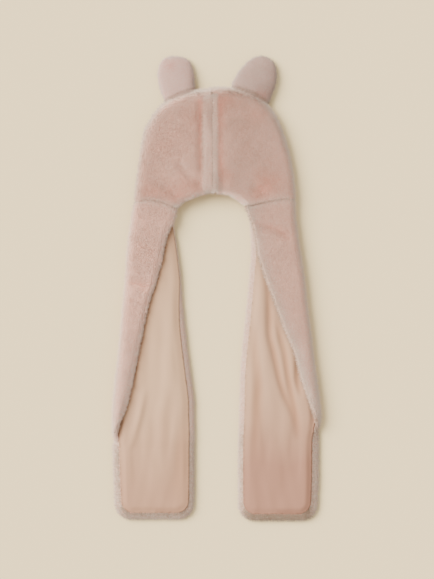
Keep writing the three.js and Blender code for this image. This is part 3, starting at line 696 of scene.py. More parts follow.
def number_points(made, name, values):
    layer = made.data.attributes.new(name=name, type="FLOAT", domain="POINT")
    layer.data.foreach_set("value", np.asarray(values, np.float32))


def read_points(mesh, what):
    """The places or normals of a mesh's points, one to a row."""
    values = np.empty(len(mesh.vertices) * 3)
    mesh.vertices.foreach_get(what, values)
    return values.reshape(-1, 3)


def sheet_mesh(outer, inner):
    """One closed sheet from two grids of points that face each other: points and faces."""
    rows, cols = outer.shape[:2]
    index = np.arange(rows * cols).reshape(rows, cols)
    under = index + rows * cols

    def quads(a, b, c, d):
        return np.stack([a.ravel(), b.ravel(), c.ravel(), d.ravel()], -1)

    faces = [
        quads(index[:-1, :-1], index[:-1, 1:], index[1:, 1:], index[1:, :-1]),
        quads(under[:-1, :-1], under[1:, :-1], under[1:, 1:], under[:-1, 1:]),
        quads(under[0, :-1], under[0, 1:], index[0, 1:], index[0, :-1]),
        quads(index[-1, :-1], index[-1, 1:], under[-1, 1:], under[-1, :-1]),
        quads(index[:-1, 0], index[1:, 0], under[1:, 0], under[:-1, 0]),
        quads(under[:-1, -1], under[1:, -1], index[1:, -1], index[:-1, -1]),
    ]
    return np.concatenate([outer.reshape(-1, 3), inner.reshape(-1, 3)]), np.concatenate(faces)


def close_up(made):
    """Merges doubled points and turns the faces outwards."""
    select_only(made)
    bpy.ops.object.mode_set(mode="EDIT")
    bpy.ops.mesh.select_all(action="SELECT")
    bpy.ops.mesh.remove_doubles(threshold=0.00002)
    bpy.ops.mesh.dissolve_degenerate(threshold=0.00001)
    bpy.ops.mesh.select_all(action="SELECT")
    bpy.ops.mesh.normals_make_consistent(inside=False)
    bpy.ops.object.mode_set(mode="OBJECT")
    made.data.shade_smooth()


def select_only(made):
    bpy.ops.object.select_all(action="DESELECT")
    made.select_set(True)
    bpy.context.view_layer.objects.active = made


def grid_frame(points, sign):
    """Normals, and directions across and down, of a grid of points."""
    across = unit(np.gradient(points, axis=1))
    down = unit(np.gradient(points, axis=0))
    return unit(np.cross(across, down)) * sign, across, down


# Pile

# Its habits, as shares unless said otherwise.
SWIRLS = ((60, 0.1), (20, 0.12))  # size in millimetres, and how far the lie turns aside, in radians
LEAN_WAVES = (38, 0.12)  # size in millimetres, and how much the lean changes
LEVEL = (0.15, 0.6)  # upward part of the normal at which pile starts to lie over, and over how much
TURN_LEAN = 0.1  # lean that is left where the cloth turns over
LEAN_LONGER = 0.4  # how much longer leaning pile is
STRAY = 0.26  # how far a strand strays from its way
SPREAD = 1.3  # how far pile leans out over a hem
GUARD, GUARD_AT_RIM = 0.08, 0.15  # how many strands are guard hairs, and how many more at a rim
GUARD_LONG, GUARD_LONG_AT_RIM = 1.35, 0.4  # their length, and what a rim adds
GUARD_PALE = 0.3
LENGTHS, WIDTHS = (0.7, 1.1), (0.7, 1.25)  # how strands differ
SPIN = 0.65  # how far a blade turns about its shaft, in radians
TUFT_WARP = (11, 0.8)  # size in millimetres of the bends in the rows of tufts, and how far they go
TUFT_KEYS = (73856093, 19349663, 83492791)  # large primes, which number the tufts
TUFT_KINDS = 7919  # how many different tufts there are
TUFT_SHIFT = 0.3  # how much tufts differ
RAGGED = (0.375, 0.625)  # fan at which a hem's pile starts to be ragged, and over how much
RAGGED_LONG, RAGGED_PALE = 1.8, 2.0  # how much ragged tufts differ
GATHER_PALE, GATHER_RAGGED = 1.2, 2.5  # how much more pale and ragged tufts draw together
ROOT_LEVEL, TIP_LEVELS = 0.35, (0.3, 0.9)  # least heights above the ground, in millimetres
OVERHANG = (-0.85, 0.6)  # upward part of the normal from which a blade's light side is turned up
BAKE_CELL = ((0.1, 0.12), (0.1, 0.88), (0.9, 0.5))  # a blade's corners in its cell of the map


def number_field(shape, *parts):
    """Numbers side by side for every point of a field."""
    return np.stack([np.broadcast_to(np.asarray(part, float), shape) for part in parts], -1)


class Patch:
    """A grid that pile grows on: points, normals, the way the pile lies, how dense and long it is, how
    far it fans out over a hem, how pale it is, which is partly painted light, how warm, and how much painted
    shade it has."""

    def __init__(self, points, normal, lie, density=1.0, length=1.0, fan=None, pale=0.0, warm=0.0, painted_shade=0.0):
        self.fields = {
            "points": points, "normal": normal, "lie": lie,
            "fan": np.zeros_like(points) if fan is None else fan,
            "numbers": number_field(points.shape[:2], density, length, pale, warm, painted_shade),
        }

    def weights(self):
        p = self.fields["points"]
        a, b = p[1:, 1:] - p[:-1, :-1], p[1:, :-1] - p[:-1, 1:]
        area = np.linalg.norm(np.cross(a, b), axis=-1) / 2
        d = self.fields["numbers"][..., 0]
        return area * (d[:-1, :-1] + d[1:, 1:] + d[:-1, 1:] + d[1:, :-1]) / 4

    def sample(self, weight, count, rng):
        row, col = np.divmod(pick(weight.ravel(), count, rng), weight.shape[1])
        u, v = rng.uniform(size=(2, count, 1))
        out = {}
        for key, field in self.fields.items():
            top = mix(field[row, col], field[row, col + 1], u)
            bottom = mix(field[row + 1, col], field[row + 1, col + 1], u)
            out[key] = mix(top, bottom, v)
        return out


class TriangleField:
    """The same as a Patch, on the triangles of a mesh."""

    def __init__(self, points, normal, lie, corners, density, length, pale, warm, painted_shade):
        self.corners = corners
        self.fields = {
            "points": points, "normal": normal, "lie": lie, "fan": np.zeros_like(points),
            "numbers": number_field(len(points), density, length, pale, warm, painted_shade),
        }

    def weights(self):
        a, b, c = (self.fields["points"][self.corners[:, k]] for k in range(3))
        area = np.linalg.norm(np.cross(b - a, c - a), axis=-1) / 2
        return area * self.fields["numbers"][self.corners, 0].mean(-1)

    def sample(self, weight, count, rng):
        corner = self.corners[pick(weight, count, rng)]
        u, v = rng.uniform(size=(2, count, 1))
        fold = u + v > 1
        u, v = np.where(fold, 1 - u, u), np.where(fold, 1 - v, v)
        return {
            key: field[corner[:, 0]] * (1 - u - v) + field[corner[:, 1]] * u + field[corner[:, 2]] * v
            for key, field in self.fields.items()
        }


def pick(weight, count, rng):
    """Evenly spread picks of a row of cells, as often as their weights say."""
    total = np.cumsum(weight)
    picks = np.searchsorted(total, (np.arange(count) + rng.uniform(size=count)) / count * total[-1])
    return np.minimum(picks, len(weight) - 1)


def grow(name, patches, count, sizes, material, seed):
    """Pile as one mesh of fine blades that lie over, gather in tufts and fan out at hems."""
    rng = np.random.default_rng(seed)
    weights = [patch.weights() for patch in patches]
    whole = sum(w.sum() for w in weights)
    samples = [p.sample(w, int(count * w.sum() / whole), rng) for p, w in zip(patches, weights)]
    got = {key: np.concatenate([s[key] for s in samples]) for key in samples[0]}
    root, normal, fan = got["points"], unit(got["normal"]), got["fan"]
    _, length_share, pale, warm, painted_shade = got["numbers"].T
    n = len(root)
    way, lean = comb(root, normal, got["lie"], fan, sizes.lean, rng, seed)
    rim = 1 - np.abs(normal[:, 2])
    guard = rng.uniform(size=n) < GUARD + GUARD_AT_RIM * rim
    long = sizes.pile / MM * length_share * rng.uniform(*LENGTHS, n)
    long = long * np.where(guard, GUARD_LONG + GUARD_LONG_AT_RIM * rim, 1)
    pale = pale + GUARD_PALE * guard
    tip = root + way * long[:, None] * np.sqrt(1 + LEAN_LONGER * lean**2)
    pull, shift = tufts(root, normal, sizes.tuft / MM, seed)
    # Towards a hem the tufts stand apart, some longer and some paler than others.
    ragged = np.clip((np.linalg.norm(fan, axis=-1) - RAGGED[0]) / RAGGED[1], 0, 1)
    tip += way * (long * RAGGED_LONG * shift[:, 2] * ragged)[:, None]
    pale = pale + RAGGED_PALE * shift[:, 3] * ragged
    tip += pull * sizes.gather * (1 + GATHER_PALE * np.clip(pale, 0, 1) + GATHER_RAGGED * ragged)[:, None]
    root[:, 2] = np.maximum(root[:, 2], ROOT_LEVEL)
    tip[:, 2] = np.maximum(tip[:, 2], rng.uniform(*TIP_LEVELS, n))
    # The light side of a blade faces out, and upwards where the cloth turns over.
    over = ramp(normal[:, 2:], *OVERHANG) * (1.3 - 0.8 * normal[:, 2:])
    light_side = unit(normal + over * np.array([0, 0, 1.0]))
    points = blades(root, tip, light_side, sizes.strand / MM, rng)
    made = mesh_object(name, points.reshape(-1, 3), np.arange(3 * n).reshape(-1, 3), material)
    number_points(made, "pile", np.tile([0, 0, 1], n))
    number_points(made, "tone", np.repeat(mix(rng.uniform(size=n), 0.5 + shift[:, 3], 0.5), 3))
    for key, values in (("pale", pale), ("warm", warm), ("painted_shade", painted_shade)):
        number_points(made, key, np.repeat(values, 3))
    lit = unit(light_side + 0.2 * fan + 0.15 * way)
    top = unit(lit + 0.15 * way + 0.1 * rng.normal(size=(n, 3)))
    bend = np.stack([lit, lit, top], 1)
    made.data.normals_split_custom_set_from_vertices(bend.reshape(-1, 3).tolist())
    atlas(made, n)
    return made


def comb(root, normal, lie, fan, lean, rng, seed):
    """The way that each strand points, and how far it leans."""
    lie = unit(lie - (lie * normal).sum(-1, keepdims=True) * normal)
    aside = np.cross(normal, lie)
    swirl = sum(ripple(root, size, seed + k) * turn for k, (size, turn) in enumerate(SWIRLS, 1))
    lie = unit(lie * np.cos(swirl)[:, None] + aside * np.sin(swirl)[:, None])
    size, change = LEAN_WAVES
    lean = lean * (1 + change * ripple(root, size, seed + 3))[:, None]
    lean = lean * mix(TURN_LEAN, 1, ramp(np.abs(normal[:, 2:]), *LEVEL))
    stray = rng.normal(size=(len(root), 3)) * STRAY
    return unit(normal + lean * lie + stray + fan * SPREAD), lean


def tufts(root, normal, size, seed):
    """The way from each strand to the middle of its tuft, and four numbers that a tuft shares."""
    waves, reach = TUFT_WARP
    warped = root + np.stack([ripple(root, waves, seed + k) for k in (4, 5, 6)], -1) * size * reach
    cell = np.floor(warped / size).astype(np.int64)
    kind = np.abs(cell @ np.array(TUFT_KEYS)) % TUFT_KINDS
    shift = np.random.default_rng(seed + 7).uniform(-TUFT_SHIFT, TUFT_SHIFT, (TUFT_KINDS, 4))[kind]
    pull = (cell + 0.5 + shift[:, :3]) * size - warped
    return pull - (pull * normal).sum(-1, keepdims=True) * normal, shift


def blades(root, tip, light_side, width, rng):
    """A thin triangle for each strand, wide at its root and turned a little about its shaft."""
    n = len(root)
    shaft = unit(tip - root)
    across = unit(np.cross(shaft, light_side) + 1e-5)
    other = np.cross(across, shaft)
    spin = rng.uniform(-SPIN, SPIN, n)[:, None]
    half = (width / 2 * rng.uniform(*WIDTHS, n))[:, None]
    blade = (np.cos(spin) * across + np.sin(spin) * other) * half
    points = np.stack([root - blade, root + blade, tip], 1)
    points[..., 2] = np.maximum(points[..., 2], TIP_LEVELS[0])
    return points


def atlas(made, count):
    """Gives every strand a cell of its own on the piece's map, root at the left and tip at the right."""
    side = int(math.ceil(math.sqrt(count)))
    cell = np.stack([np.arange(count) % side, np.arange(count) // side], -1)[:, None]
    layer = made.data.uv_layers.new(name="OFBake")
    places = (cell + np.array(BAKE_CELL)) / side
    layer.uv.foreach_set("vector", places.astype(np.float32).ravel())


# Materials

class Wire:
    """A socket that can be written in sums: each operation adds its Math node."""

    def __init__(self, graph, socket):
        self.graph = graph
        self.socket = socket

    def math(self, operation, *values):
        inputs = dict(enumerate(values))
        return self.graph.node("ShaderNodeMath", {"operation": operation}, inputs)

    def __add__(self, other):
        return self.math("ADD", self, other)

    def __sub__(self, other):
        return self.math("SUBTRACT", self, other)

    def __rsub__(self, other):
        return self.math("SUBTRACT", other, self)

    def __mul__(self, other):
        return self.math("MULTIPLY", self, other)

    __radd__ = __add__
    __rmul__ = __mul__


class Finish:
    """A material of one Principled shader, and the way to add nodes to it."""

    def __init__(self, name, **constants):
        self.material = bpy.data.materials.new(name)
        self.material.use_nodes = True
        self.tree = self.material.node_tree
        self.shader = self.tree.nodes["Principled BSDF"]
        for socket, value in constants.items():
            self.shader.inputs[socket.replace("_", " ")].default_value = value

    def node(self, kind, settings=None, inputs=None, output=0):
        made = self.tree.nodes.new(kind)
        for key, value in (settings or {}).items():
            setattr(made, key, value)
        for key, value in (inputs or {}).items():
            self.feed(made.inputs[key], value)
        return Wire(self, made.outputs[output])

    def feed(self, socket, value):
        if isinstance(value, Wire):
            self.tree.links.new(value.socket, socket)
        else:
            socket.default_value = (*value, 1) if socket.type == "RGBA" else value

    def set(self, **links):
        for socket, value in links.items():
            self.feed(self.shader.inputs[socket.replace("_", " ")], value)
        return self.material

    def place(self):
        return self.node("ShaderNodeTexCoord", output="Object")

    def noise(self, size, detail=2.0, stretch=(1, 1, 1)):
        """Noise from 0 to 1 with cells of about a size in millimetres."""
        at = self.node("ShaderNodeMapping", inputs={"Vector": self.place(), "Scale": stretch})
        return self.node(
            "ShaderNodeTexNoise",
            inputs={"Vector": at, "Scale": 1 / (size * MM), "Detail": detail, "Roughness": 0.5},
        )

    def number(self, name):
        return self.node("ShaderNodeAttribute", {"attribute_name": name}, output="Fac")

    def blend(self, share, a, b, mode="MIX"):
        settings = {"data_type": "RGBA", "blend_type": mode, "clamp_factor": True}
        return self.node("ShaderNodeMix", settings, {0: share, 6: a, 7: b}, output=2)

    def darken(self, share, colour, factors):
        """A colour, by a share of the way to what it is when multiplied by three factors."""
        return self.blend(share, colour, self.blend(1.0, colour, factors, "MULTIPLY"))

    def bump(self, height, distance, strength=1.0):
        inputs = {"Height": height, "Distance": distance * MM, "Strength": strength}
        return self.node("ShaderNodeBump", inputs=inputs)


def shaded(colour, *shares):
    """A colour times one or more shares, each a number or one number for each channel."""
    for share in shares:
        parts = share if hasattr(share, "__len__") else (share,) * 3
        colour = tuple(min(value * part, 1) for value, part in zip(colour, parts))
    return tuple(colour)


def pile_finish(name, colours, tone_and_shade):
    """Short plush pile: warm at the root, paler at the tip, in soft brushed patches."""
    look = Finish(
        name, Sheen_Weight=0.35, Sheen_Roughness=0.45, Sheen_Tint=(*colours.frost, 1), Specular_IOR_Level=0.15
    )
    root, tip = shaded(colours.root, tone_and_shade), shaded(colours.tip, tone_and_shade)
    frost = shaded(colours.frost, tone_and_shade)
    pale = look.number("pale")
    up = look.number("pile") * 0.6 + look.number("tone") * 0.75 - 0.15
    colour = look.blend(up, root, tip)
    patch = (look.noise(34, 2) - 0.5) * 0.65 + (look.noise(9, 2) - 0.5) * 0.6
    colour = look.blend(patch + look.number("warm"), colour, shaded(root, BLUSH))
    speck = (look.noise(2.4, 1) - 0.5) * (pale * 0.9 + 1.3)
    # The frost colour where the pile is pale: at pale tips and tufts, and as painted light at rims and on
    # sides away from the sun.
    colour = look.blend(pale * (look.number("pile") * 0.3 + 0.7) + speck, colour, frost)
    # Painted shade, as the mesh gives it: in creases and seam grooves, on the border and the flap's edge, and
    # on sides of the cloth.
    painted_shade = look.number("painted_shade") * (look.noise(5.5, 1) * 1.2 + 0.25) - speck * 0.3
    colour = look.darken(painted_shade, colour, SHADE_AND_SEAM)
    return look.set(Base_Color=colour, Roughness=0.92 - look.number("tone") * 0.15)


def backing_finish(name, colours, tone_and_shade):
    """The fabric that the pile grows from, nearly hidden between the strands."""
    look = Finish(name, Sheen_Weight=0.3, Sheen_Roughness=0.5, Specular_IOR_Level=0.1)
    root = shaded(colours.root, tone_and_shade)
    deep = shaded(root, 0.85)
    speck = look.noise(0.9, 2)
    colour = look.blend(speck, deep, root)
    return look.set(Base_Color=colour, Roughness=0.95 - speck * 0.1, Normal=look.bump(speck, 0.5, 0.6))


def lining_finish(name, colours, tone_and_shade):
    """Smooth warp-knit lining with a faint nap and a soft sheen, pinker towards the tail's end, with painted
    shade in its pleats, beside the flap and along its hem away from the sun, and dark dashes of stitches and
    painted shadow along its seam."""
    look = Finish(
        name, Sheen_Weight=0.3, Sheen_Roughness=0.4, Sheen_Tint=(1.0, 0.93, 0.88, 1), Specular_IOR_Level=0.2
    )
    cream = shaded(colours.lining, tone_and_shade)
    blush = shaded(colours.lining_low, tone_and_shade)
    nap = look.noise(1.1, 2, (1, 0.35, 1))
    drift = look.noise(70, 2, (1, 0.5, 1))
    colour = look.blend(look.number("low") * 0.85 + (drift - 0.5) * 0.7, cream, blush)
    colour = look.darken((nap - 0.5) * 0.5 + 0.25, colour, NAP)
    # Painted shade in the valleys of the pleats.
    crease_shade = look.number("crease_shade") * 2 - 1
    colour = look.darken(crease_shade * 0.75, colour, PLEAT_SHADE)
    colour = look.darken(look.number("shade"), colour, SHADE)
    # Dark dashes along the hem: partly stitches, partly painted shadow of the gap between the lining and the
    # fur.
    dashes = look.number("seam") * ((look.noise(4.5, 1) - 0.35) * 2.2)
    colour = look.darken(dashes, colour, SHADE_AND_SEAM)
    bump = look.bump(nap + look.noise(0.5, 1) * 0.5, 0.2, 0.4)
    return look.set(Base_Color=colour, Roughness=0.62 + nap * 0.14, Normal=bump)


def thread_finish(colours):
    look = Finish("sewing thread", Sheen_Weight=0.2, Specular_IOR_Level=0.3)
    twist = look.noise(0.5, 1)
    dark = shaded(colours.thread, 0.75)
    return look.set(Base_Color=look.blend(twist, dark, colours.thread), Roughness=0.6 + twist * 0.2)


def floor_finish(colours):
    look = Finish("pale ground", Specular_IOR_Level=0.1)
    cloud = look.noise(180, 2)
    light = shaded(colours.floor, 1.012)
    return look.set(Base_Color=look.blend(cloud, colours.floor, light), Roughness=0.9)


# The ears are greyer than the hood and darker with painted shade; the right ear and the right lining carry
# more painted shade than the left ones, on the side away from the sun.
TONES_AND_SHADE = {
    "left": (1.0, 1.0, 1.0), "right": (1.0, 1.0, 1.0),
    "left ear": (0.73, 0.73, 0.78), "right ear": (0.6, 0.62, 0.66),
    "left lining": (1.0, 1.0, 1.0), "right lining": (0.93, 0.92, 0.95),
}


def finish_for(kind, side):
    """The material of a kind on a side, made once."""
    name = f"{kind} {side}"
    if name in bpy.data.materials:
        return bpy.data.materials[name]
    makers = {"pile": pile_finish, "backing": backing_finish, "lining": lining_finish}
    return makers[kind](name, bpy.context.scene.scarf_colours, TONES_AND_SHADE[side])


# Pieces

HOOD_SEED, TAIL_SEED, EAR_SEED = 11, 23, 37
HEM_PILE = (1.6, 0.85)  # how dense and how long the pile on the wall of a hem is
GROOVE = 1.8  # half width of a seam's groove, in millimetres
SEAM_PALE = 8.0  # and of the pale band beside the seam of a tail
AWAY_SIDE_LIGHT = 0.4  # painted light: how much paler the pile is where it faces away from the sun
INNER_WARM = -0.2  # how warm the border of the lining is


def hem_fan(out, distance, reach):
    """How strongly the pile leans out over a hem."""
    return out * (np.clip(1 - distance / reach, 0, 1) ** 1.2)[..., None]


def sheet_piece(name, outer, inner, material):
    """A piece from two grids of points that face each other, closed all round."""
    points, faces = sheet_mesh(outer, inner)
    made = mesh_object(name, points, faces, material)
    close_up(made)
    return made


def twice(values):
    """A column of values, as the two columns of a strip."""
    return np.repeat(values[:, None], 2, 1)


def make_hood(name, sizes):
    """A hood panel: its backing and its pile."""
    inset = sizes.pile / MM * ROOM
    side = Side(name, inset=inset)
    outer, inner = hood_grid(side, inset), hood_grid(side, FUR_WALL - SLACK)
    shell = sheet_piece(f"hood_{name}", outer, inner, finish_for("backing", name))
    patches = hood_patches(side, outer, inner)
    look = finish_for("pile", name)
    return shell, grow(f"hood_pile_{name}", patches, sizes.hood_strands, sizes, look, HOOD_SEED)


def hood_patches(side, outer, inner):
    """What the pile of a hood panel grows on: the panel, and the rims of its open hems."""
    facts = side.facts
    normal, across, _ = grid_frame(outer, 1)
    normal *= np.sign(normal[:, 10, 2].sum())
    rows, cols = outer.shape[:2]
    column = np.arange(cols)[None, :]
    front = column < HOOD_COLUMNS[0]
    back = column >= HOOD_COLUMNS[0] + HOOD_COLUMNS[1]
    out = np.abs(outer[..., 0] - SEAM_X)
    height = outer[..., 1] - BASE_Y
    plane = np.stack([out, height], -1)
    to_hem = np.where(front, side.hem.distance(plane), side.back.distance(plane))
    to_hem = np.where(front | back, to_hem, FAR)
    to_rim = np.where(back, FAR, side.edge.distance(plane))
    to_seam = np.where(front, out, FAR)
    to_tail = height - side.seam_up(out)
    from_band = to_seam - facts["band"]
    edge = np.clip(1 - np.abs(normal[..., 2]), 0, 1)
    hem_band = bell(to_hem, 5.0)
    seam_groove = bell(to_seam, GROOVE)
    tail_groove = np.where(front, bell(to_tail, GROOVE), 0)
    # away is 1 where the pile faces the sun and -1 where it faces away from it.
    away = -(normal @ SUN_FLAT)

    # Paler on the band by the centre seam, beside the tail's seam, at the hems and towards the crown; painted
    # light where the cloth turns over at a rim and on sides that face away from the sun.
    pale = facts["band_pale"] * (1 - ramp(from_band, -2.5, 4))
    pale = pale + 0.5 * np.where(front, bell(to_tail, SEAM_PALE), 0) + 0.6 * hem_band + 0.85 * edge**1.2
    crown = np.where(back, 0, ramp(height, 178, 18)) * (1 - ramp(out, 70, 30))
    pale = pale + facts["crown"] * crown
    pale = pale + 0.4 * bell(to_rim, 17) * ramp(height, 70, 70)
    pale = pale + AWAY_SIDE_LIGHT * np.clip(-away, 0, 1)

    warm = 0.85 * bell(from_band - 5, 6.5) * ramp(height, 25, 50) - 0.4 * (1 - ramp(from_band, -2.5, 4))
    warm = warm * (1 - edge)
    for blush_out, blush_up, reach, strength in facts["blush"]:
        spot = blush_out * HOOD_WIDTH / 2, blush_up * HOOD_HEIGHT
        blush = strength * np.exp(-(((plane - spot) / reach) ** 2).sum(-1))
        warm = warm + np.where(front, blush, 0) * (1 - edge)

    # Painted shade in the grooves of the seams, on the sides that face the sun, and at the edge of the band
    # by the centre seam.
    painted_shade = 0.12 * seam_groove + 0.35 * tail_groove + 0.8 * np.clip(away, 0, 1) ** 1.4
    ledge = bell(from_band - 1, 2.4) * ramp(height, 40, 40) * (1 - ramp(height, 150, 20))
    painted_shade = painted_shade + facts["ledge"] * ledge

    outward = np.where(front[..., None], -across, across)
    over_rim = 0.6 * np.clip(across[..., 1], 0, 1) * (1 - smooth(to_rim / 24))
    fan = hem_fan(outward, to_hem, 7.0) + np.where(front, over_rim, 0.6 * over_rim)[..., None] * across
    lie = np.zeros_like(outer)
    lie[..., 1] = -1
    lie[..., 0] = facts["nap"] * smooth(out / 40)
    density = np.where(normal[..., 2] < -0.5, 0.38, 1.0) * (1 + 0.4 * hem_band)
    length = 1 - 0.2 * np.maximum(seam_groove, tail_groove)
    patches = [Patch(outer, normal, lie, density, length, fan, pale, warm, painted_shade)]
    last = int(rows * HEM_SHARE) + 1
    for edge_column, turned in ((0, -1), (cols - 1, 1)):
        strip = np.stack([outer[:last, edge_column], inner[:last, edge_column]], 1)
        way = twice(across[:last, edge_column] * turned)
        patches.append(Patch(strip, way, twice(lie[:last, edge_column]), *HEM_PILE, None, 0.7))
    return patches


def make_tail(name, sizes):
    """The fur side of a tail: its backing and its pile."""
    side = Side(name)
    inset = sizes.pile / MM * ROOM
    places = tail_places(side, inset, TAIL_GRID)
    down, along, _, length = places
    outer = tail_points(side, down, along, inset + flap_dent(side, down, along))
    inner = tail_points(side, down, along, FUR_WALL - SLACK + 0 * along)
    shell = sheet_piece(f"tail_{name}", outer, inner, finish_for("backing", name))
    patches = [tail_patch(side, inset, places, outer)]
    for strip_down, strip_along in border_strips(side, inset, length):
        patches += border_patches(side, inset, strip_down, strip_along)
    look = finish_for("pile", name)
    return shell, grow(f"tail_pile_{name}", patches, sizes.tail_strands, sizes, look, TAIL_SEED)


def tail_patch(side, inset, places, outer):
    """What the pile of a tail grows on, but for its border."""
    facts = side.facts
    down, along, total, length = places
    normal, across, run = grid_frame(outer, 1)
    normal *= -np.sign(normal[-20, 30, 2])
    hem = hem_distance(along, total, down, length) - inset
    to_side = np.minimum(along, total - along)
    outward = np.where((along < total / 2)[..., None], -across, across)
    outward = np.where((length - down < to_side)[..., None], run, outward)
    folded = tail_section(side, down)["turn"]
    flap = (along > total / 2) * folded
    edge = np.clip(1 - np.abs(normal[..., 2]), 0, 1)
    hem_band = bell(np.maximum(hem, 0), 6.0)
    groove = bell(down, GROOVE)
    # away is 1 where the pile faces the sun and -1 where it faces away from it.
    away = -(normal @ SUN_FLAT)

    # Paler beside the seam, at hems and down the tail; painted light where the cloth turns over at a rim, on
    # sides that face away from the sun and beside the flap's edge. Painted shade in the seam's groove, on
    # sides that face the sun and on the flap's edge.
    pale = 0.5 * bell(down, SEAM_PALE) + (0.7 - 0.4 * folded) * hem_band + 0.75 * edge**1.2
    pale = pale + 0.28 * ramp(down / TAIL_LENGTH, 0.3, 0.35)
    pale = pale + 1.1 * facts["flap_edge_shading"] * bell(hem, 17.0) * flap
    pale = pale + AWAY_SIDE_LIGHT * np.clip(-away, 0, 1)
    painted_shade = 0.4 * groove + (0.8 - 0.4 * flap) * np.clip(away, 0, 1) ** 1.4
    painted_shade = painted_shade + facts["flap_edge_shading"] * hem_band * folded
    warm = 0.5 * near_flap_dents(side, down, along)

    fan = hem_fan(outward, hem, 8.0) * (1 - facts["flap_edge_shading"] * 1.6 * flap)[..., None]
    density = np.where((normal[..., 2] < -0.5) & (hem > 9), 0.33, 1.0)
    lie = run + facts["tail_nap"] * smooth(down / 180)[..., None] * across
    return Patch(outer, normal, lie, density, 1 - 0.2 * groove, fan, pale, warm, painted_shade)


def border_patches(side, inset, down, along):
    """A strip of the border that shows round the lining, and the wall of the hem outside it."""
    def points(depth):
        return tail_points(side, down, along, depth + 0 * along)

    facts = side.facts
    top = points(FUR_WALL - SLACK)
    run = unit(np.gradient(top, axis=0))
    up = unit(points(FUR_WALL + 1.0) - top)
    outside = unit(top[:, :1] - top[:, -1:]) + 0 * top
    gap = np.linalg.norm(top - top[:, :1], axis=-1)
    # away is 1 where the border's outside faces the sun and 0 where it faces away from it.
    away = 0.5 - 0.5 * (outside @ SUN_FLAT)
    at_end = np.clip(-outside[..., 1], 0, 1) ** 2
    cut = tail_section(side, down)
    folded = cut["turn"]
    inner = along < cut["total"] / 2
    bare = 1 - folded * np.where(inner, mix(1, 0.4, away), 1)
    pale = mix(0.8, 0.75, away) - 0.3 * folded
    # Painted shade on the border: more where it faces the sun, deeper towards the lining, at the tail's end
    # and along the flap.
    painted_shade = (mix(0.42, 0.72, away) + 0.4 * (gap / 8) ** 2 + facts["end_shade"] * at_end) * bare
    painted_shade = painted_shade + 3.4 * facts["flap_edge_shading"] * folded * ~inner
    roll = unit(up + 0.7 * outside)
    fan = hem_fan(outside, gap, 9.0) * 0.5
    wall = np.stack([top[:, 0], points(inset)[:, 0]], 1)
    wall_tones = pale[:, :2], INNER_WARM, painted_shade[:, :2] * 0.7
    return [
        Patch(top, roll, outside, 1.25, 0.62, fan, pale, INNER_WARM, painted_shade),
        Patch(wall, twice(outside[:, 0]), twice(run[:, 0]), *HEM_PILE, None, *wall_tones),
    ]


def border_strips(side, inset, length):
    """Strips along the tail's two long hems, its two corners and its end, from the hem inwards."""
    border = LINING_INSET - inset
    steps = np.linspace(0, border, 5)[None, :]
    corner = TAIL_CORNER - inset
    end = length - inset
    down = np.linspace(2, end - corner, TAIL_GRID[0])[:, None] + 0 * steps
    total = tail_section(side, down)["total"]
    yield (down, inset + steps + 0 * down)
    yield (down, total - inset - steps)
    for flip in (False, True):
        angle = np.linspace(0, np.pi / 2, 16)[:, None]
        radius = corner - 1.45 * steps
        corner_down = end - corner + radius * np.sin(angle)
        in_along = inset + corner - radius * np.cos(angle)
        total = tail_section(side, corner_down)["total"]
        yield (corner_down, total - in_along if flip else in_along)
    share = np.linspace(0, 1, 40)[:, None]
    end_down = end - steps + 0 * share
    total = tail_section(side, end_down)["total"]
    yield (end_down, mix(inset + corner, total - inset - corner, share))


def make_lining(name):
    """The lining of a tail, with what its finish has to know at each point."""
    side = Side(name)
    down, along, total, length = tail_places(side, LINING_INSET, LINING_GRID, corner=LINING_CORNER)
    hem = lining_hem(along, total, down, length)
    bare_from, bare_to = side.facts["bare"]
    bare = (1 - ramp(down / TAIL_LENGTH, bare_from, bare_to - bare_from)) * (down > 0)
    reach = INNER_REACH + BARE_REACH * bare
    along = along - reach * (1 - smooth(hem / REACH_FADE)) * (along < total / 2)
    rise = lining_rise(side, down, along, hem)
    near, far = FUR_WALL + GAP + rise * 0.5, FUR_WALL + GAP + LINING_WALL + rise
    points, faces = sheet_mesh(tail_points(side, down, along, near), tail_points(side, down, along, far))
    lining = mesh_object(f"lining_{name}", points, faces, finish_for("lining", f"{name} lining"))
    valley = lining_pleats(side, down, along)[1]
    # away is the side of the lining away from the sun. crease_shade is painted shade in the pleats' valleys;
    # shade is the painted shadow of the flap and painted shade along the hem away from the sun; seam is the
    # dark line along the hem, partly stitches and partly painted shadow of the gap.
    away = (along < total / 2) if side.sign < 0 else (along > total / 2)
    fields = {
        "crease_shade": np.clip(0.5 + 0.5 * valley, 0, 1),
        "shade": flap_shade(side, down, along) + 0.26 * bell(hem, 8) * away,
        "low": side.facts["blush_end"] * ramp(down / TAIL_LENGTH, 0.5, 0.45) + 0 * along,
        "seam": bell(hem, 2.0) * (1 - 0.9 * bare * (along < total / 2)),
    }
    for key, field in fields.items():
        number_points(lining, key, np.tile(field.ravel(), 2))
    close_up(lining)
    return lining


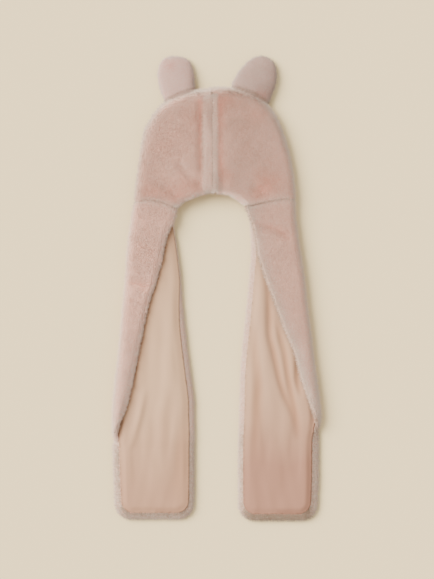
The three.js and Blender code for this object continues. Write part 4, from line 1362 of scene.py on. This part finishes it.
def ear_rings(side, inset, around=28):
    """Rings of a padded ear from its seat on the crown edge to near its tip."""
    shape = np.array(side.facts["ear"])
    size = EAR_WIDTH, EAR_LENGTH
    middle = side.facts["ear_middle"]
    foot = side.edge.at(middle)
    wide = np.hypot(*((shape[0, 0:2] - shape[0, 2:4]) * size))
    half_base = (wide / 2 - inset * 0.6) / side.edge.length
    angle = np.linspace(0, 2 * np.pi, around, endpoint=False)
    thick = (EAR_THICKNESS - 2 * inset) / 2
    at = middle - np.cos(angle) * half_base
    seat = side.edge.at(at) - edge_normal(side, at) * EAR_SINK
    seat_up = EAR_LIFT + EAR_THICKNESS / 2 + np.sin(angle) * thick
    rings = [side.world(seat[:, 0], seat[:, 1], seat_up)]
    table = np.column_stack([np.linspace(0, 1, len(shape)), shape])
    for place in np.linspace(0, 1, EAR_ROWS):
        row = np.array([float(read(table, k, place)) for k in range(1, 6)])
        outer, inner = row[0:2] * size, row[2:4] * size
        centre, half = (outer + inner) / 2, (outer - inner) / 2
        half *= 1 - inset / max(np.linalg.norm(half), inset * 1.2)
        centre = centre * (1 - 0.9 * inset / EAR_LENGTH)
        body = foot + centre + half * np.cos(angle)[:, None]
        tall = row[4] * EAR_THICKNESS / 2
        up = EAR_LIFT + tall + np.sin(angle) * max(tall - inset, 1.2)
        rings.append(side.world(body[:, 0], body[:, 1], up))
    return np.array(rings)


def make_ear(name, sizes):
    """A padded ear: its cushion and its pile."""
    side = Side(name)
    rings = ear_rings(side, EAR_INSET)
    count, around = rings.shape[:2]
    points = np.concatenate([rings.reshape(-1, 3), rings[:1].mean(1), rings[-1:].mean(1)])
    index = np.arange(count * around).reshape(count, around)
    following = np.roll(index, -1, axis=1)
    quads = np.stack([index[:-1], following[:-1], following[1:], index[1:]], -1).reshape(-1, 4)
    made = mesh_object(f"ear_pad_{name}", points, quads, finish_for("backing", name))
    close_ends(made)
    plump(made, sizes.ear_pressure)
    fields = [ear_field(side, made.data)]
    look = finish_for("pile", f"{name} ear")
    return made, grow(f"ear_pile_{name}", fields, sizes.ear_strands, sizes, look, EAR_SEED)


def close_ends(made):
    """Fills the open ends of a tube and drops its loose points."""
    select_only(made)
    bpy.ops.object.mode_set(mode="EDIT")
    bpy.ops.mesh.select_all(action="DESELECT")
    bpy.ops.mesh.select_non_manifold()
    bpy.ops.mesh.fill_holes(sides=0)
    bpy.ops.mesh.select_all(action="SELECT")
    bpy.ops.mesh.delete_loose(use_verts=True, use_edges=False, use_faces=False)
    bpy.ops.mesh.select_all(action="SELECT")
    bpy.ops.mesh.normals_make_consistent(inside=False)
    bpy.ops.object.mode_set(mode="OBJECT")


def ear_field(side, mesh):
    """What the pile of an ear grows on: thin where the hood lies close, painted shade at its foot, painted
    light at its rims.
    """
    points, normal = read_points(mesh, "co") / MM, read_points(mesh, "normal")
    mesh.calc_loop_triangles()
    corners = np.empty(len(mesh.loop_triangles) * 3, np.int32)
    mesh.loop_triangles.foreach_get("vertices", corners)
    foot = side.edge.at(side.facts["ear_middle"])
    above = smooth((points[:, 1] - side.world(*foot, 0.0)[1]) / 14)
    density = np.where(normal[:, 2] < -0.6, 0.5, 1.0) * mix(0.5, 1, above)
    lie = np.broadcast_to(np.array([side.sign * 0.15, 1.0, 0.0]), points.shape)
    edge = np.clip(1 - np.abs(normal[:, 2]), 0, 1)
    plane = np.stack([np.abs(points[:, 0] - SEAM_X), points[:, 1] - BASE_Y], -1)
    blush_out, blush_up, reach, strength = side.facts["ear_blush"]
    warm = strength * bell(np.hypot(plane[:, 0] - blush_out, plane[:, 1] - blush_up), reach)
    crease_shade = bell(side.edge.distance(plane) - EAR_CREASE, 2.6) * (points[:, 2] > EAR_THICKNESS / 2)
    pale = 0.7 * edge**1.3 + 0.25
    return TriangleField(points, normal, lie, corners.reshape(-1, 3), density, 0.9, pale, warm, 0.8 * crease_shade)


def plump(made, pressure, voxel=3.2, cap=3.0, frames=20):
    """Remeshes a padded piece and fills it as a cloth cushion, without letting a point move far."""
    select_only(made)
    made.data.remesh_voxel_size = voxel * MM
    bpy.ops.object.voxel_remesh()
    rest = read_points(made.data, "co")
    cloth = made.modifiers.new("Filling", "CLOTH")
    cloth.settings.use_pressure = True
    cloth.settings.uniform_pressure_force = pressure
    cloth.settings.effector_weights.gravity = 0
    cloth.settings.quality = 6
    cloth.point_cache.frame_start = 1
    cloth.point_cache.frame_end = frames
    scene = bpy.context.scene
    for step in range(1, frames + 1):
        scene.frame_set(step)
    bpy.ops.object.modifier_apply(modifier=cloth.name)
    scene.frame_set(1)
    shift = read_points(made.data, "co") - rest
    far = np.linalg.norm(shift, axis=1, keepdims=True)
    shift *= np.minimum(1, cap * MM / np.maximum(far, 1e-9))
    made.data.vertices.foreach_set("co", (rest + shift).ravel())
    smoother = made.modifiers.new("Even", "SMOOTH")
    smoother.factor, smoother.iterations = 0.5, 1
    bpy.ops.object.modifier_apply(modifier=smoother.name)
    finer = made.modifiers.new("Finer", "SUBSURF")
    finer.levels = finer.render_levels = 1
    bpy.ops.object.modifier_apply(modifier=finer.name)
    made.data.shade_smooth()


STITCH_PITCH = 1.35  # from stitch to stitch, as a share of a stitch
SEAM_SINK = 4.4  # depth of the seams of the tails below the top of the fold, in millimetres
CENTRE_SINK = 3.2  # and of the centre seam in the pile
CENTRE_ROWS = 140  # rows of points along the crown edge, of which these carry the centre seam
CENTRE_SPAN = (4, 136)  # first one past the hem, and last one


def stitch_shape(sizes):
    """One stitch of thread, along X about the origin: its points in millimetres and its faces."""
    bpy.ops.object.select_all(action="DESELECT")
    bpy.ops.mesh.primitive_cylinder_add(vertices=6, radius=sizes.thread / 2, depth=sizes.stitch * 0.5)
    shape = bpy.context.object
    bpy.ops.object.mode_set(mode="EDIT")
    for end in (1, -1):
        bpy.ops.mesh.select_all(action="DESELECT")
        bpy.ops.object.mode_set(mode="OBJECT")
        for face in shape.data.polygons:
            face.select = face.normal.z * end > 0.9
        bpy.ops.object.mode_set(mode="EDIT")
        bpy.ops.mesh.select_mode(type="FACE")
        reach = sizes.stitch * 0.16 * end
        bpy.ops.mesh.extrude_region_move(TRANSFORM_OT_translate={"value": (0, 0, reach)})
        bpy.ops.transform.resize(value=(0.45, 0.45, 1))
    bpy.ops.mesh.select_all(action="SELECT")
    bpy.ops.mesh.quads_convert_to_tris()
    bpy.ops.object.mode_set(mode="OBJECT")
    points = read_points(shape.data, "co")[:, [2, 0, 1]] / MM
    faces = np.array([face.vertices[:] for face in shape.data.polygons])
    bpy.data.objects.remove(shape)
    return points, faces


def sew(name, lines, sizes, material):
    """Stitches along lines of points in millimetres, as one mesh."""
    shape, faces = stitch_shape(sizes)
    points, corners, count = [], [], 0
    pitch = sizes.stitch / MM * STITCH_PITCH
    for line in lines:
        steps = np.concatenate([[0], np.cumsum(np.linalg.norm(np.diff(line, axis=0), axis=1))])
        for place in np.arange(pitch, steps[-1] - pitch / 2, pitch):
            here, ahead = (
                np.array([np.interp(place + by, steps, line[:, k]) for k in range(3)]) for by in (0, 0.5)
            )
            along = unit(ahead - here)
            across = unit(np.cross([0, 0, 1.0], along))
            up = np.cross(along, across)
            points.append(here + shape @ np.stack([along, across, up]))
            corners.append(faces + count)
            count += len(shape)
    return mesh_object(name, np.concatenate(points), np.concatenate(corners), material)


def seam_lines():
    """The centre seam and the seams between the hood and the tails, just under the tips of the pile."""
    lines = []
    for name in SIDES:
        side = Side(name)
        out = np.linspace(side.seam_inner + 16, side.seam_outer - 6, 30)
        lines.append(side.world(out, side.seam_up(out) - GAP / 2, 2 * FOLD_RADIUS - SEAM_SINK + 0 * out))
    left = hood_grid(Side("left"), CENTRE_SINK, rows=CENTRE_ROWS)
    first, last = CENTRE_SPAN
    centre = left[int(CENTRE_ROWS * HEM_SHARE) + first:last, 0].copy()
    centre[:, 0] = SEAM_X
    lines.append(centre)
    return lines


def settle(piece, slot, *nodes):
    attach(piece, BODY)
    if nodes:
        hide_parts(*nodes)


class SCARF_OT_stage(bpy.types.Operator):
    """Lay the pale ground and set the lights and the camera"""
    bl_idname = "scarf.stage"
    bl_label = "Stage"

    def execute(self, context):
        colours = context.scene.scarf_colours
        bpy.ops.object.select_all(action="DESELECT")
        bpy.ops.mesh.primitive_plane_add(size=GROUND_SIZE)
        floor = context.object
        floor.name = "ground"
        floor.data.materials.append(floor_finish(colours))
        bpy.ops.object.light_add(type="SUN", location=(-1, 1, 2))
        sun = context.object
        sun.data.energy = SUN_ENERGY
        sun.data.angle = math.radians(SUN_SPREAD)
        sun.data.color = WARM_LIGHT
        sun.rotation_euler = Vector(SUN_WAY).to_track_quat("-Z", "Y").to_euler()
        world = context.scene.world or bpy.data.worlds.new("room")
        context.scene.world = world
        world.use_nodes = True
        sky = world.node_tree.nodes["Background"]
        sky.inputs["Color"].default_value = (*WARM_LIGHT, 1)
        sky.inputs["Strength"].default_value = SKY_STRENGTH
        bpy.ops.object.camera_add(location=CAMERA_PLACE, rotation=(0, 0, 0))
        camera = context.object
        camera.data.lens = CAMERA_LENS
        camera.data.sensor_width = CAMERA_SENSOR
        camera.data.clip_end = 50
        context.scene.camera = camera
        return {"FINISHED"}


class SCARF_OT_hood(bpy.types.Operator):
    """Make the hood's two panels and their pile"""
    bl_idname = "scarf.hood"
    bl_label = "Hood"

    def execute(self, context):
        sizes = context.scene.scarf_sizes
        for name in SIDES:
            shell, fluff = make_hood(name, sizes)
            settle(shell, f"fur_{name}", f"hood_panel_{name}")
            settle(fluff, f"fur_{name}")
        return {"FINISHED"}


class SCARF_OT_tails(bpy.types.Operator):
    """Make the fur side of the two tails and its pile"""
    bl_idname = "scarf.tails"
    bl_label = "Tails"

    def execute(self, context):
        sizes = context.scene.scarf_sizes
        for name in SIDES:
            shell, fluff = make_tail(name, sizes)
            settle(shell, f"fur_{name}", f"tail_fur_{name}")
            settle(fluff, f"fur_{name}")
        return {"FINISHED"}


class SCARF_OT_linings(bpy.types.Operator):
    """Make the smooth lining of the two tails"""
    bl_idname = "scarf.linings"
    bl_label = "Linings"

    def execute(self, context):
        for name in SIDES:
            lining = make_lining(name)
            settle(lining, "lining", f"tail_lining_{name}")
        return {"FINISHED"}


class SCARF_OT_ears(bpy.types.Operator):
    """Make the two padded ears and their pile"""
    bl_idname = "scarf.ears"
    bl_label = "Ears"

    def execute(self, context):
        for name in SIDES:
            ear, fluff = make_ear(name, context.scene.scarf_sizes)
            settle(ear, f"fur_{name}", f"ear_{name}")
            settle(fluff, f"fur_{name}")
        return {"FINISHED"}


class SCARF_OT_stitches(bpy.types.Operator):
    """Sew the centre seam and the seams of the tails"""
    bl_idname = "scarf.stitches"
    bl_label = "Stitches"

    def execute(self, context):
        colours = context.scene.scarf_colours
        stitches = sew("seam_stitches", seam_lines(), context.scene.scarf_sizes, thread_finish(colours))
        settle(stitches, "fur_left")
        return {"FINISHED"}


class SCARF_PT_panel(bpy.types.Panel):
    bl_idname = "SCARF_PT_panel"
    bl_label = "Hood Scarf"
    bl_space_type = "VIEW_3D"
    bl_region_type = "UI"
    bl_category = "Hood Scarf"

    def draw(self, context):
        for group in (context.scene.scarf_sizes, context.scene.scarf_colours):
            box = self.layout.box()
            for name in group.__annotations__:
                box.prop(group, name)
        for step in STEPS:
            self.layout.operator(step.bl_idname)


STEPS = (
    SCARF_OT_stage, SCARF_OT_hood, SCARF_OT_tails, SCARF_OT_linings, SCARF_OT_ears, SCARF_OT_stitches,
)
CLASSES = (ScarfSizes, ScarfColours, *STEPS, SCARF_PT_panel)


def register():
    for cls in CLASSES:
        bpy.utils.register_class(cls)
    bpy.types.Scene.scarf_sizes = bpy.props.PointerProperty(type=ScarfSizes)
    bpy.types.Scene.scarf_colours = bpy.props.PointerProperty(type=ScarfColours)


def unregister():
    del bpy.types.Scene.scarf_colours
    del bpy.types.Scene.scarf_sizes
    for cls in reversed(CLASSES):
        bpy.utils.unregister_class(cls)


def main():
    register()
    bpy.ops.object.select_all(action="DESELECT")
    bpy.ops.scarf.stage()
    bpy.ops.scarf.hood()
    bpy.ops.scarf.tails()
    bpy.ops.scarf.linings()
    bpy.ops.scarf.ears()
    bpy.ops.scarf.stitches()


if __name__ == "__main__":
    main()
